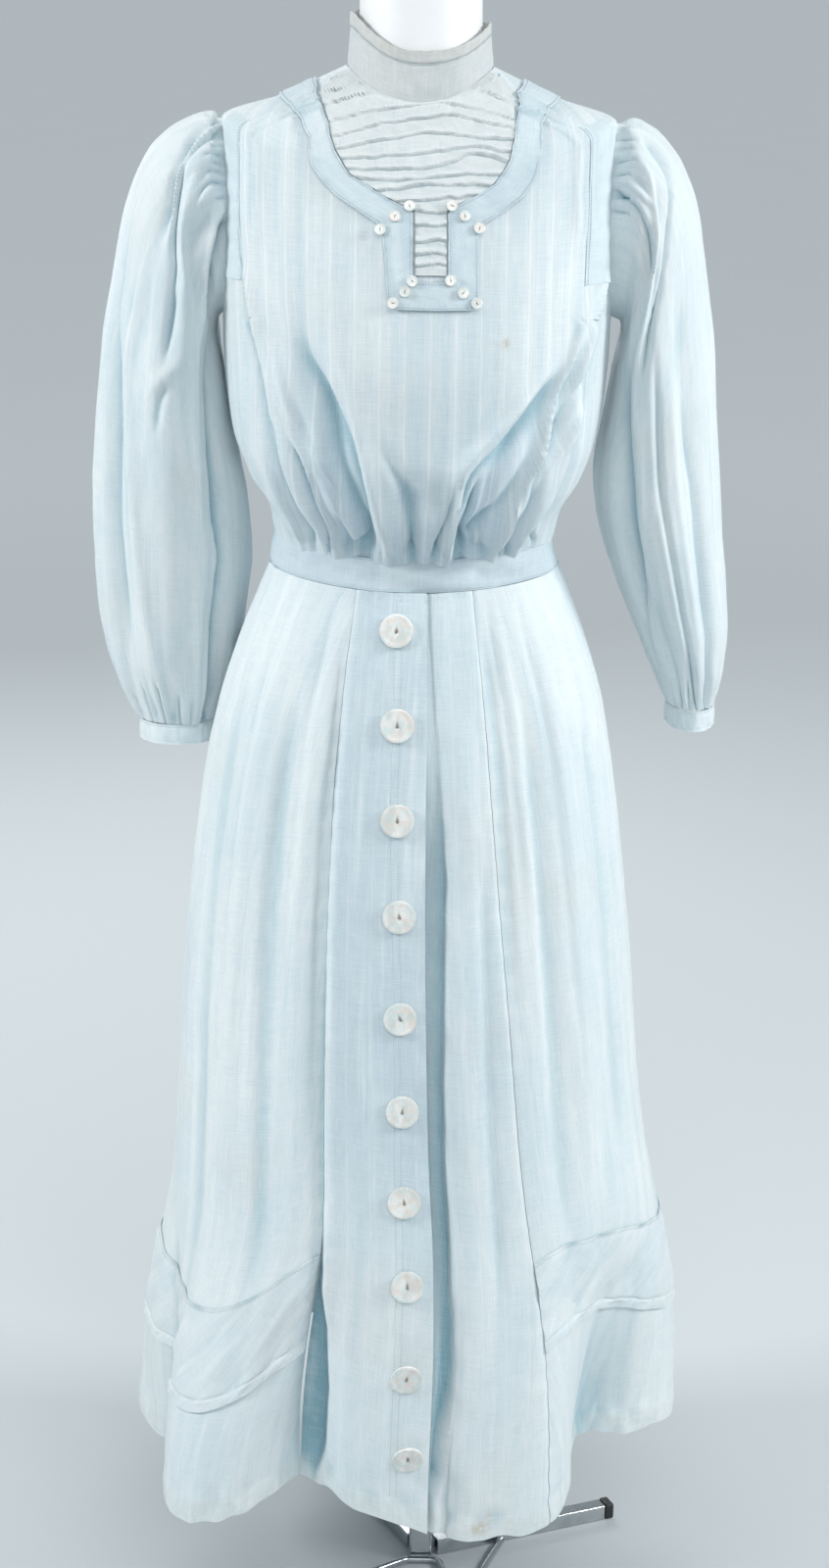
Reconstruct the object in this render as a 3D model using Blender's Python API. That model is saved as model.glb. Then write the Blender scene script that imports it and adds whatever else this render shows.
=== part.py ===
"""A prairie dress of about 1905 on a limbless dress form with a chrome stand.

Metres, +Z up. The origin is on the floor under the middle of the pole. The dress faces -Y, and +X is to
the right of someone who looks at it from the front. The tables below give the dress in its own frame,
whose middle is at DRESS_X, DRESS_Y.
"""

import math

import bmesh
import bpy
import numpy as np
from mathutils import Vector

# Driving dimensions, in metres

CLOTH = 0.0012
TRIM_CLOTH = 0.0011
SEAM = 0.0004
STAND_GAP = 0.0003
KINKED_SEAM = 0.0010
LAY_ON = 0.0006
YOKE_LAY_ON = 0.0012

DRESS_X = -0.0155
DRESS_Y = -0.0180
MID_X = -0.003

HEM_LEVEL = 0.148
SKIRT_TOP_LEVEL = 0.985
WAIST_DIP = 0.008
COLLAR_AROUND = 30
WAISTBAND_AROUND = 36
COLLAR_SPLIT = 0.76
COLLAR_SIDE_X = 0.0572
COLLAR_FRONT_Y = -0.0550
COLLAR_BACK_Y = 0.0460
COLLAR_SIDE_Z = 1.4420
COLLAR_FRONT_RISE = -0.0265
COLLAR_BACK_RISE = 0.0100
COLLAR_SIDE_TILT = 0.0045
COLLAR_WAVE = 0.0010
WAISTBAND_WAVE = 0.0012
LARGE_BUTTON = 0.0286
LARGE_BUTTON_THICK = 0.0030
SMALL_BUTTON = 0.0090
SMALL_BUTTON_THICK = 0.0020
BUTTON_GAP = 0.0007

POLE_WIDTH = 0.022
FORM_BOTTOM = 0.800
LEG_WIDTH = 0.015
LEG_HEIGHT = 0.015
LEG_START = 0.0151
LEG_REACH = 0.196
LEG_RIGHT_DEG = 22.7
LEG_REAR_DEG = 116.0
CAP_LENGTH = 0.009
CAP_WALL = 0.0008
FOOT_ROD = 0.0070

# The bodice's sections: s runs from the waist seam at 0 to the neck seam at 1

TORSO_COLUMNS = ("s", "side_x", "side_z", "front_y", "front_z", "back_y", "back_z", "square")
TORSO_ROWS = (
    (0.00, 0.1205, 1.0130, -0.0930, 1.0040, 0.0800, 1.0110, 2.0),
    (0.08, 0.1255, 1.0350, -0.1180, 1.0180, 0.0900, 1.0320, 2.0),
    (0.18, 0.1430, 1.0650, -0.1400, 1.0480, 0.0960, 1.0650, 2.1),
    (0.30, 0.1535, 1.1000, -0.1510, 1.0950, 0.0980, 1.1050, 2.2),
    (0.42, 0.1585, 1.1500, -0.1520, 1.1500, 0.0990, 1.1550, 2.2),
    (0.54, 0.1630, 1.2000, -0.1450, 1.2050, 0.1000, 1.2100, 2.2),
    (0.64, 0.1640, 1.2550, -0.1310, 1.2520, 0.0990, 1.2620, 2.2),
    (0.74, 0.1640, 1.3100, -0.1130, 1.2920, 0.0930, 1.3120, 2.2),
    (0.82, 0.1650, 1.3580, -0.0960, 1.3220, 0.0820, 1.3480, 2.2),
    (0.91, 0.1130, 1.3790, -0.0750, 1.3510, 0.0640, 1.3830, 2.1),
    (1.00, 0.0600, 1.4030, -0.0600, 1.3760, 0.0480, 1.4110, 2.0),
)
UNDERARM_S = 0.54
SHOULDER_S = 0.82
ARMHOLE_FRONT_DEG = 16.0
ARMHOLE_BACK_DEG = 22.0
BODICE_S = (0.0, 0.045, 0.10, 0.18, 0.29, 0.41, 0.54, 0.581, 0.68, 0.779, 0.82, 0.88, 0.94, 0.987)

# The bodice's folds: a trough has a negative height, and angles are 0 at the front and grow towards +X

FOLD_COLUMNS = ("start_deg", "end_deg", "start", "end", "height", "width_deg")
FRONT_FOLDS = (
    (-16.0, -28.0, 0.00, 0.50, -0.0075, 3.6),
    (-9.0, -19.0, 0.00, 0.50, -0.0050, 3.2),
    (-22.0, -33.0, 0.02, 0.42, 0.0045, 3.6),
    (-30.0, -40.0, 0.01, 0.44, -0.0040, 3.6),
    (-44.0, -53.0, 0.02, 0.56, -0.0060, 4.0),
    (-37.0, -46.0, 0.02, 0.40, 0.0040, 3.8),
    (-57.0, -62.0, 0.02, 0.50, 0.0045, 5.0),
    (-2.0, -3.0, 0.00, 0.30, -0.0040, 3.0),
    (4.0, 4.0, 0.01, 0.24, 0.0035, 3.0),
    (10.0, 12.0, 0.00, 0.30, -0.0045, 3.0),
    (16.0, 20.0, 0.01, 0.34, 0.0040, 3.2),
    (20.0, 48.0, 0.02, 0.46, -0.0080, 4.2),
    (30.0, 46.0, 0.02, 0.40, 0.0045, 3.6),
    (38.0, 54.0, 0.02, 0.52, -0.0055, 3.8),
    (46.0, 60.0, 0.04, 0.66, 0.0045, 4.0),
    (54.0, 66.0, 0.03, 0.60, -0.0050, 4.0),
    (-57.0, -56.0, 0.62, 1.02, 0.0022, 3.4),
    (-49.0, -49.0, 0.64, 1.02, 0.0020, 3.0),
    (50.0, 50.0, 0.64, 1.02, 0.0020, 3.0),
    (58.0, 57.0, 0.62, 1.02, 0.0022, 3.4),
)
BACK_FOLDS = (
    (167.0, 160.0, 0.00, 0.46, -0.0050, 4.0),
    (157.0, 148.0, 0.00, 0.42, 0.0040, 4.0),
    (147.0, 138.0, 0.01, 0.44, -0.0045, 4.0),
    (134.0, 126.0, 0.02, 0.38, 0.0035, 5.0),
    (120.0, 116.0, 0.03, 0.46, -0.0035, 5.0),
)

# The skirt's sections: t runs from the waist seam at 0 to the hem at 1

SKIRT_COLUMNS = ("level", "mid_x", "side_x", "front_y", "back_y", "square")
SKIRT_ROWS = (
    (0.985, -0.0030, 0.1250, -0.0960, 0.0850, 2.00),
    (0.968, -0.0030, 0.1320, -0.1020, 0.0930, 2.00),
    (0.917, -0.0035, 0.1515, -0.1150, 0.1200, 2.05),
    (0.864, -0.0040, 0.1675, -0.1270, 0.1400, 2.10),
    (0.810, -0.0050, 0.1780, -0.1360, 0.1550, 2.15),
    (0.728, -0.0052, 0.1895, -0.1470, 0.1700, 2.20),
    (0.617, -0.0040, 0.2005, -0.1600, 0.1880, 2.25),
    (0.503, -0.0015, 0.2085, -0.1710, 0.2040, 2.30),
    (0.386, 0.0035, 0.2200, -0.1830, 0.2200, 2.35),
    (0.266, 0.0060, 0.2345, -0.1940, 0.2350, 2.40),
    (0.148, 0.0000, 0.2515, -0.2020, 0.2450, 2.40),
)

# The hem as it hangs, seen from above, with its height over the floor

HEM_COLUMNS = ("deg", "x", "y", "z")
HEM_ROWS = (
    (-180.0, 0.000, 0.245, 0.152),
    (-150.0, -0.128, 0.222, 0.153),
    (-125.0, -0.215, 0.160, 0.156),
    (-105.0, -0.246, 0.085, 0.160),
    (-90.0, -0.2535, 0.015, 0.161),
    (-80.0, -0.232, -0.022, 0.150),
    (-72.0, -0.200, -0.045, 0.148),
    (-64.0, -0.205, -0.078, 0.144),
    (-56.0, -0.220, -0.105, 0.139),
    (-48.0, -0.211, -0.140, 0.138),
    (-40.0, -0.187, -0.168, 0.143),
    (-30.0, -0.150, -0.178, 0.156),
    (-22.0, -0.118, -0.178, 0.177),
    (-17.0, -0.094, -0.164, 0.186),
    (-13.0, -0.074, -0.168, 0.183),
    (-9.0, -0.055, -0.187, 0.176),
    (-4.0, -0.025, -0.198, 0.169),
    (0.0, 0.000, -0.2025, 0.163),
    (4.0, 0.022, -0.203, 0.156),
    (8.0, 0.037, -0.190, 0.148),
    (12.0, 0.057, -0.200, 0.146),
    (18.0, 0.090, -0.197, 0.1485),
    (24.0, 0.119, -0.188, 0.151),
    (29.0, 0.1385, -0.162, 0.157),
    (34.0, 0.148, -0.120, 0.156),
    (40.0, 0.152, -0.080, 0.156),
    (48.0, 0.157, -0.046, 0.163),
    (58.0, 0.175, -0.034, 0.165),
    (68.0, 0.201, -0.034, 0.164),
    (78.0, 0.228, -0.022, 0.165),
    (90.0, 0.2515, 0.012, 0.166),
    (105.0, 0.245, 0.085, 0.162),
    (125.0, 0.215, 0.160, 0.156),
    (150.0, 0.128, 0.222, 0.153),
    (180.0, 0.000, 0.245, 0.152),
)
HEM_SHAPE_STARTS = 0.64

SKIRT_FOLDS = (
    (-21.5, -17.5, 0.02, 0.90, -0.0060, 2.6),
    (-27.0, -24.0, 0.05, 0.75, 0.0035, 3.2),
    (-36.0, -33.0, 0.06, 0.90, -0.0045, 4.0),
    (-48.0, -46.0, 0.05, 0.85, 0.0040, 4.5),
    (-61.0, -62.0, 0.08, 0.85, -0.0055, 5.0),
    (-78.0, -80.0, 0.08, 1.20, 0.0020, 6.0),
    (8.6, 7.6, 0.12, 0.95, -0.0090, 2.1),
    (14.5, 13.0, 0.08, 0.85, 0.0035, 3.0),
    (25.0, 25.0, 0.01, 0.50, -0.0040, 2.2),
    (34.0, 37.0, 0.06, 0.80, -0.0045, 4.0),
    (46.0, 48.0, 0.05, 0.70, 0.0040, 4.5),
    (62.0, 63.0, 0.08, 0.75, -0.0050, 5.0),
    (80.0, 82.0, 0.08, 1.20, 0.0015, 6.0),
    (104.0, 106.0, 0.10, 1.30, -0.0060, 7.0),
    (-104.0, -106.0, 0.10, 1.30, -0.0060, 7.0),
    (128.0, 128.0, 0.05, 1.30, -0.0080, 7.0),
    (-128.0, -128.0, 0.05, 1.30, -0.0080, 7.0),
    (152.0, 150.0, 0.03, 1.30, -0.0100, 7.0),
    (-152.0, -150.0, 0.03, 1.30, -0.0100, 7.0),
    (170.0, 167.0, 0.01, 1.30, -0.0080, 5.0),
    (-170.0, -167.0, 0.01, 1.30, -0.0080, 5.0),
)

# The skirt's seams, as angles at four depths

SEAM_COLUMNS = ("t", "left_gore", "free_edge", "right_gore")
SEAM_ROWS = (
    (0.00, -22.5, 5.2, 23.4),
    (0.15, -20.5, 4.2, 21.5),
    (0.45, -18.2, 3.4, 23.4),
    (0.75, -17.3, 3.2, 25.1),
    (1.00, -17.0, 3.6, 26.0),
)
BACK_SEAM_DEG = 113.0
LAP_DEG = 3.2
LAP_DROP = 0.0021
TUCKED_UNDER_DEG = 14.0

# The bias bands' upper and lower edges, as depths t on the skirt

BAND_COLUMNS = ("deg", "upper", "lower")
BAND_ROWS = (
    (-180.0, 0.745, 0.865),
    (-90.0, 0.762, 0.875),
    (-64.0, 0.770, 0.880),
    (-45.0, 0.762, 0.876),
    (-17.0, 0.725, 0.840),
    (3.0, 0.720, 0.830),
    (25.0, 0.702, 0.800),
    (35.0, 0.692, 0.792),
    (53.0, 0.704, 0.812),
    (90.0, 0.735, 0.852),
    (180.0, 0.745, 0.865),
)
SKIRT_PARTS_ABOVE_BAND = (0.0, 0.06, 0.17, 0.34, 0.56, 0.79, 1.0)

# The tucked yoke and the shaped band round it, as places on the bodice's front

YOKE_COLUMNS = ("s", "left_deg", "right_deg")
YOKE_ROWS = (
    (0.618, -0.8, 7.0),
    (0.735, -1.0, 6.8),
    (0.745, -1.2, 7.2),
    (0.757, -4.8, 10.4),
    (0.765, -7.2, 13.6),
    (0.789, -13.1, 19.8),
    (0.804, -17.4, 21.6),
    (0.834, -20.9, 24.8),
    (0.854, -24.6, 27.7),
    (0.897, -36.1, 38.7),
    (0.922, -46.0, 46.0),
    (0.949, -62.0, 56.0),
    (0.980, -72.0, 69.0),
)
YOKE_EASE_DEG = 0.9
YOKE_TUCKS = (
    0.632, 0.652, 0.674, 0.699, 0.726, 0.752, 0.776, 0.797, 0.818, 0.840, 0.862, 0.885, 0.909, 0.934, 0.958,
)
YOKE_BOTTOM_S = 0.622
YOKE_TOP_S = 0.974
TUCK_HEIGHT = 0.0011
TUCK_UNDERSIDE = 0.6
TUCK_WAVER = 0.0022

YOKE_BAND_COLUMNS = ("inner_deg", "inner_s", "outer_deg", "outer_s")
YOKE_BAND_ROWS = (
    (-84.0, 0.957, -84.0, 0.905),
    (-68.0, 0.949, -62.0, 0.899),
    (-48.0, 0.922, -46.0, 0.885),
    (-36.0, 0.897, -35.0, 0.861),
    (-26.5, 0.862, -31.0, 0.835),
    (-21.0, 0.834, -29.0, 0.802),
    (-17.6, 0.804, -26.0, 0.784),
    (-13.1, 0.789, -21.5, 0.761),
    (-7.0, 0.764, -15.5, 0.739),
    (-2.6, 0.747, -10.0, 0.717),
    (-1.1, 0.738, -8.4, 0.697),
    (-1.0, 0.660, -7.5, 0.640),
    (-0.9, 0.616, -6.7, 0.576),
    (-0.4, 0.611, -5.0, 0.567),
    (3.0, 0.609, 4.0, 0.566),
    (6.6, 0.611, 13.6, 0.567),
    (7.1, 0.617, 15.2, 0.576),
    (7.0, 0.660, 15.3, 0.630),
    (6.9, 0.736, 14.9, 0.697),
    (8.4, 0.749, 16.4, 0.713),
    (12.0, 0.761, 21.0, 0.731),
    (19.6, 0.787, 28.5, 0.757),
    (22.8, 0.815, 32.5, 0.784),
    (25.5, 0.840, 33.8, 0.812),
    (27.9, 0.856, 35.0, 0.832),
    (33.2, 0.878, 39.0, 0.857),
    (38.9, 0.898, 46.0, 0.879),
    (59.0, 0.947, 61.0, 0.899),
    (84.0, 0.957, 84.0, 0.905),
)
ARMHOLE_STRIP_S = (0.60, 0.64, 0.68, 0.73, 0.779, 0.80, 0.82, 0.85)
ARMHOLE_STRIP_LEFT_DEG = 60.5
ARMHOLE_STRIP_RIGHT_DEG = 55.0
ARMHOLE_STRIP_END_DEG = 76.0
BACK_PLACKET_DEG = 4.0

SMALL_BUTTON_COLUMNS = ("deg", "s", "over_tuck")
SMALL_BUTTON_ROWS = (
    (-1.8, 0.748, 0.0012),
    (-5.2, 0.728, 0.0006),
    (-8.9, 0.702, 0.0),
    (7.8, 0.748, 0.0012),
    (11.2, 0.729, 0.0),
    (15.2, 0.705, 0.0),
    (-1.0, 0.611, 0.0),
    (-2.6, 0.594, 0.0),
    (-5.4, 0.576, 0.0),
    (7.6, 0.613, 0.0),
    (10.9, 0.593, 0.0),
    (14.6, 0.577, 0.0),
)
LARGE_BUTTON_COLUMNS = ("deg", "t")
LARGE_BUTTON_ROWS = (
    (-5.6, 0.038),
    (-3.4, 0.133),
    (-2.2, 0.230),
    (-1.3, 0.330),
    (-1.0, 0.438),
    (-0.7, 0.538),
    (-0.7, 0.637),
    (-0.5, 0.728),
    (-0.4, 0.828),
    (0.2, 0.918),
)

# The sleeves' sections from the armhole to the cuff: v, the ends of the section's long axis, its middle y
# and half its depth

SLEEVE_COLUMNS = ("v", "outer_x", "outer_z", "inner_x", "inner_z", "mid_y", "half_depth")
LEFT_SLEEVE_ROWS = (
    (0.05, 0.176, 1.3625, 0.172, 1.194, 0.001, 0.050),
    (0.11, 0.197, 1.3560, 0.174, 1.180, 0.007, 0.059),
    (0.19, 0.227, 1.3350, 0.170, 1.160, 0.013, 0.064),
    (0.28, 0.250, 1.2900, 0.166, 1.134, 0.019, 0.064),
    (0.37, 0.262, 1.2320, 0.162, 1.104, 0.025, 0.062),
    (0.47, 0.274, 1.1640, 0.156, 1.069, 0.030, 0.060),
    (0.57, 0.281, 1.0900, 0.150, 1.030, 0.034, 0.059),
    (0.68, 0.284, 1.0100, 0.148, 0.985, 0.039, 0.058),
    (0.78, 0.282, 0.9450, 0.152, 0.940, 0.044, 0.056),
    (0.86, 0.2755, 0.8960, 0.158, 0.895, 0.050, 0.052),
    (0.92, 0.2645, 0.8620, 0.166, 0.861, 0.055, 0.046),
    (0.97, 0.2530, 0.8390, 0.176, 0.839, 0.057, 0.038),
    (1.00, 0.2485, 0.8290, 0.1795, 0.8290, 0.058, 0.034),
)
RIGHT_SLEEVE_ROWS = (
    (0.05, 0.174, 1.3620, 0.171, 1.194, 0.001, 0.050),
    (0.11, 0.192, 1.3540, 0.172, 1.178, 0.007, 0.061),
    (0.19, 0.215, 1.3300, 0.167, 1.158, 0.013, 0.067),
    (0.28, 0.232, 1.2920, 0.163, 1.132, 0.018, 0.069),
    (0.37, 0.242, 1.2360, 0.158, 1.100, 0.023, 0.069),
    (0.47, 0.252, 1.1650, 0.154, 1.066, 0.027, 0.069),
    (0.57, 0.258, 1.0900, 0.157, 1.028, 0.031, 0.068),
    (0.68, 0.265, 1.0150, 0.168, 0.990, 0.035, 0.067),
    (0.78, 0.272, 0.9570, 0.182, 0.952, 0.041, 0.064),
    (0.86, 0.2765, 0.9120, 0.199, 0.912, 0.046, 0.059),
    (0.92, 0.2745, 0.8820, 0.212, 0.882, 0.051, 0.053),
    (0.97, 0.2700, 0.8600, 0.2215, 0.860, 0.054, 0.047),
    (1.00, 0.2685, 0.8510, 0.2255, 0.8510, 0.055, 0.044),
)
SLEEVE_V = (0.0, 0.05, 0.11, 0.19, 0.28, 0.38, 0.50, 0.63, 0.76, 0.87, 0.95, 1.0)
SLEEVE_AROUND = 28
SLEEVE_PIPE_COUNT = 14
CAP_PIPE_HEIGHT = 0.0024
CUFF_PIPE_HEIGHT = 0.0016
SLEEVE_START = 0.0013
LEFT_CUFF_BOTTOM_Z = 0.8100
RIGHT_CUFF_BOTTOM_Z = 0.8315
CUFF_AROUND = 20
LEFT_SLEEVE_FOLDS = (
    (52.0, 48.0, 0.28, 1.05, -0.0085, 13.0),
    (24.0, 22.0, 0.25, 0.95, 0.0025, 13.0),
    (88.0, 92.0, 0.20, 1.00, 0.0050, 14.0),
    (128.0, 124.0, 0.18, 1.02, -0.0070, 13.0),
    (-40.0, -44.0, 0.25, 1.00, -0.0060, 15.0),
    (-100.0, -96.0, 0.25, 1.00, -0.0060, 15.0),
)
RIGHT_SLEEVE_FOLDS = (
    (140.0, 118.0, 0.22, 1.04, -0.0085, 13.0),
    (98.0, 92.0, 0.20, 0.95, 0.0050, 14.0),
    (64.0, 60.0, 0.28, 1.02, -0.0065, 13.0),
    (28.0, 26.0, 0.25, 0.95, 0.0025, 13.0),
    (-40.0, -44.0, 0.25, 1.00, -0.0060, 15.0),
    (-100.0, -96.0, 0.25, 1.00, -0.0060, 15.0),
)

# The dress form: r counts its sections from the hips to the neck

FORM_COLUMNS = ("r", "side_x", "side_z", "front_y", "front_z", "back_y", "back_z", "square")
FORM_ROWS = (
    (0.0, 0.140, 0.800, -0.092, 0.800, 0.104, 0.800, 2.2),
    (1.0, 0.144, 0.832, -0.094, 0.832, 0.108, 0.832, 2.2),
    (2.0, 0.136, 0.890, -0.090, 0.890, 0.102, 0.890, 2.1),
    (3.0, 0.116, 0.955, -0.082, 0.952, 0.082, 0.955, 2.0),
    (4.0, 0.106, 1.010, -0.078, 1.004, 0.068, 1.010, 2.0),
    (5.0, 0.116, 1.064, -0.094, 1.054, 0.076, 1.066, 2.0),
    (6.0, 0.132, 1.120, -0.114, 1.112, 0.084, 1.124, 2.1),
    (7.0, 0.142, 1.176, -0.123, 1.172, 0.090, 1.180, 2.2),
    (8.0, 0.149, 1.236, -0.118, 1.230, 0.092, 1.244, 2.2),
    (9.0, 0.1535, 1.296, -0.104, 1.282, 0.0875, 1.302, 2.2),
    (10.0, 0.1545, 1.336, -0.0930, 1.3120, 0.0790, 1.3380, 2.2),
    (11.0, 0.1470, 1.3635, -0.0860, 1.3290, 0.0735, 1.3580, 2.2),
    (12.0, 0.1125, 1.3778, -0.0739, 1.3498, 0.0628, 1.3818, 2.1),
    (13.0, 0.0590, 1.4015, -0.0590, 1.3745, 0.0470, 1.4095, 2.0),
    (14.0, 0.0530, 1.4150, -0.0545, 1.3980, 0.0435, 1.4220, 2.0),
    (15.0, 0.0508, 1.4450, -0.0525, 1.4380, 0.0425, 1.4500, 2.0),
    (16.0, 0.0505, 1.4860, -0.0520, 1.4860, 0.0420, 1.4900, 2.0),
    (17.0, 0.0455, 1.4985, -0.0465, 1.4985, 0.0375, 1.5010, 2.0),
    (18.0, 0.0340, 1.5040, -0.0340, 1.5040, 0.0280, 1.5050, 2.0),
)
FORM_AROUND = 24

# The bent rod that carries the front of the stand, seen from above

ROD_COLUMNS = ("x", "y")
ROD_ROWS = (
    (0.0793, 0.0215),
    (0.0610, -0.0290),
    (0.0490, -0.0700),
    (0.0430, -0.0900),
    (0.0350, -0.0950),
    (0.0290, -0.0860),
    (0.0250, -0.0600),
    (0.0205, -0.0300),
    (0.0170, -0.0190),
    (0.0100, -0.0150),
    (-0.0100, -0.0150),
    (-0.0180, -0.0185),
    (-0.0350, -0.0300),
    (-0.0800, -0.0680),
    (-0.1300, -0.1150),
    (-0.1550, -0.1420),
)


def column(rows, names, key):
    """One named column of a table, as an array."""
    return np.array([row[names.index(key)] for row in rows], float)


def pick(values, index):
    """The values at each index, for one curve or for a curve at each point."""
    if values.ndim == 1:
        return values[index]
    return np.take_along_axis(values, index[None], axis=0)[0]


def flow(x, xs, ys):
    """A smooth curve through a table's points that never overshoots them."""
    ys = np.asarray(ys, float)
    step = np.diff(xs).reshape((-1,) + (1,) * (ys.ndim - 1))
    slope = np.diff(ys, axis=0) / step
    same_way = slope[:-1] * slope[1:] > 0
    before = 2 * step[1:] + step[:-1]
    after = step[1:] + 2 * step[:-1]
    safe_low = np.where(same_way, slope[:-1], 1.0)
    safe_high = np.where(same_way, slope[1:], 1.0)
    middle = np.where(same_way, (before + after) / (before / safe_low + after / safe_high), 0.0)
    tangent = np.concatenate([slope[:1], middle, slope[-1:]])
    x = np.clip(np.asarray(x, float), xs[0], xs[-1])
    i = np.clip(np.searchsorted(xs, x, side="right") - 1, 0, len(xs) - 2)
    width = np.diff(xs)[i]
    t = (x - xs[i]) / width
    return (
        (1 + 2 * t) * (1 - t) ** 2 * pick(ys, i)
        + t * (1 - t) ** 2 * width * pick(tangent, i)
        + t * t * (3 - 2 * t) * pick(ys, i + 1)
        + t * t * (t - 1) * width * pick(tangent, i + 1)
    )


def read(rows, names, x, *keys):
    """The named columns of a table, read smoothly at x, which is a place in its first column."""
    xs = column(rows, names, names[0])
    order = np.argsort(xs)
    return [flow(x, xs[order], column(rows, names, key)[order]) for key in keys]


def smooth(x):
    """A soft step from 0 to 1."""
    x = np.clip(x, 0.0, 1.0)
    return x * x * (3 - 2 * x)


def turned(deg):
    """An angle brought into the half turn on each side of the front."""
    return (np.asarray(deg, float) + 180.0) % 360.0 - 180.0


def oval(deg, side_x, front_y, back_y, square):
    """x and y on a squared oval."""
    angle = np.radians(deg)
    sine, cosine = np.sin(angle), np.cos(angle)
    power = 2.0 / square
    x = side_x * np.sign(sine) * np.abs(sine) ** power
    return x, np.where(cosine > 0, front_y, back_y) * np.abs(cosine) ** power


def tilted_section(rows, names, place, deg):
    """A point on a section whose front, sides and back stand at heights of their own."""
    side_x, side_z, front_y, front_z, back_y, back_z, square = read(rows, names, place, *names[1:])
    x, y = oval(deg, side_x, front_y, back_y, square)
    cosine = np.cos(np.radians(deg))
    middle_z = np.where(cosine > 0, front_z, back_z)
    return np.stack([x + MID_X, y, side_z + (middle_z - side_z) * cosine ** 2], -1)


def fold_height(rows, deg, place):
    """How far the folds of a table stand out of a surface."""
    total = np.zeros(np.broadcast(deg, place).shape)
    for start_deg, end_deg, start, end, height, width in rows:
        along = np.clip((place - start) / (end - start), 0.0, 1.0)
        off = turned(deg - (start_deg + (end_deg - start_deg) * along))
        fade = smooth(along / 0.18) * smooth((1 - along) / 0.35)
        total = total + height * fade * np.exp(-((off / width) ** 2))
    return total


def normals(surface, a, b):
    """Unit normals of a surface, from small steps along it."""
    step_a, step_b = 0.05, 0.0008
    inside = np.clip(b, step_b, 1 - step_b)
    along = surface(a + step_a, b) - surface(a - step_a, b)
    across = surface(a, inside + step_b) - surface(a, inside - step_b)
    normal = np.cross(along, across)
    return normal / np.linalg.norm(normal, axis=-1, keepdims=True)


def raised(surface, height, out):
    """The surface with a relief laid on it. out is 1 or -1, the side that counts as outside."""

    def shape(a, b):
        return surface(a, b) + normals(surface, a, b) * (out * height(a, b))[..., None]

    return shape


# The surfaces


def bodice_base(deg, s):
    return tilted_section(TORSO_ROWS, TORSO_COLUMNS, s, deg)


def bodice_relief(deg, s):
    back = fold_height(BACK_FOLDS, np.abs(turned(deg)), s)
    return fold_height(FRONT_FOLDS, deg, s) + back


bodice = raised(bodice_base, bodice_relief, 1)


def armhole_swing(s):
    """How far round the armhole has turned from the side seam at a height: 0 at its ends, 1 halfway."""
    share = (s - UNDERARM_S) / (SHOULDER_S - UNDERARM_S)
    return np.sqrt(np.clip(1 - (2 * share - 1) ** 2, 0, 1)) * ((share > 0) & (share < 1))


def side_edge(s, turn_deg):
    """The angle of a side edge, a half seam short of the side and swung back at the armhole."""
    depth = read(TORSO_ROWS, TORSO_COLUMNS, s, "front_y")[0]
    return 90.0 + turn_deg * armhole_swing(s) + np.sign(turn_deg) * np.degrees(SEAM / 2 / np.abs(depth))


def skirt_base(deg, t):
    """The skirt's plain hanging shape, which turns into the folded hem towards the floor."""
    deg = turned(deg)
    level = SKIRT_TOP_LEVEL + (HEM_LEVEL - SKIRT_TOP_LEVEL) * t
    mid_x, side_x, front_y, back_y, square = read(SKIRT_ROWS, SKIRT_COLUMNS, level, *SKIRT_COLUMNS[1:])
    x, y = oval(deg, side_x, front_y, back_y, square)
    hem_x, hem_y, hem_z = read(HEM_ROWS, HEM_COLUMNS, deg, *HEM_COLUMNS[1:])
    hem_share = smooth((t - HEM_SHAPE_STARTS) / (1 - HEM_SHAPE_STARTS))
    x = x + (hem_x - x) * hem_share + mid_x * (1 - hem_share)
    y = y + (hem_y - y) * hem_share
    top = SKIRT_TOP_LEVEL - WAIST_DIP * np.clip(np.cos(np.radians(deg)), 0, 1) ** 2
    return np.stack([x, y, top + (hem_z - top) * t], -1)


def skirt_relief(deg, t):
    return fold_height(SKIRT_FOLDS, deg, t)


skirt = raised(skirt_base, skirt_relief, -1)


def tucked_under(deg, t):
    """How far the right front panel lies under the left one's free edge."""
    edge = read(SEAM_ROWS, SEAM_COLUMNS, t, "free_edge")[0]
    return -LAP_DROP * smooth((edge + TUCKED_UNDER_DEG - deg) / (TUCKED_UNDER_DEG - 2.0))


skirt_under = raised(skirt, tucked_under, -1)


def skirt_depth(row, deg):
    """The depth t of a row of the skirt's grid, whose rows follow the bias bands' edges."""
    upper, lower = read(BAND_ROWS, BAND_COLUMNS, turned(deg), "upper", "lower")
    parts = SKIRT_PARTS_ABOVE_BAND
    last = len(parts) - 1
    if row <= last:
        return parts[row] * upper
    below = {1: (upper + lower) / 2, 2: lower, 3: (lower + 1.0) / 2, 4: np.ones_like(lower)}
    return below[row - last]


def armhole_ring(side, deg):
    """The armhole's edge, with the angle counted from its top round the front."""
    share = (1 + np.cos(np.radians(deg))) / 2
    s = UNDERARM_S + (SHOULDER_S - UNDERARM_S) * share
    swing = np.sin(np.radians(deg))
    turn = np.where(swing > 0, -ARMHOLE_FRONT_DEG, -ARMHOLE_BACK_DEG) * swing
    point = bodice_base(side * (90.0 + turn), s)
    return point + np.array([side * SLEEVE_START, 0.0, 0.0])


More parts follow.
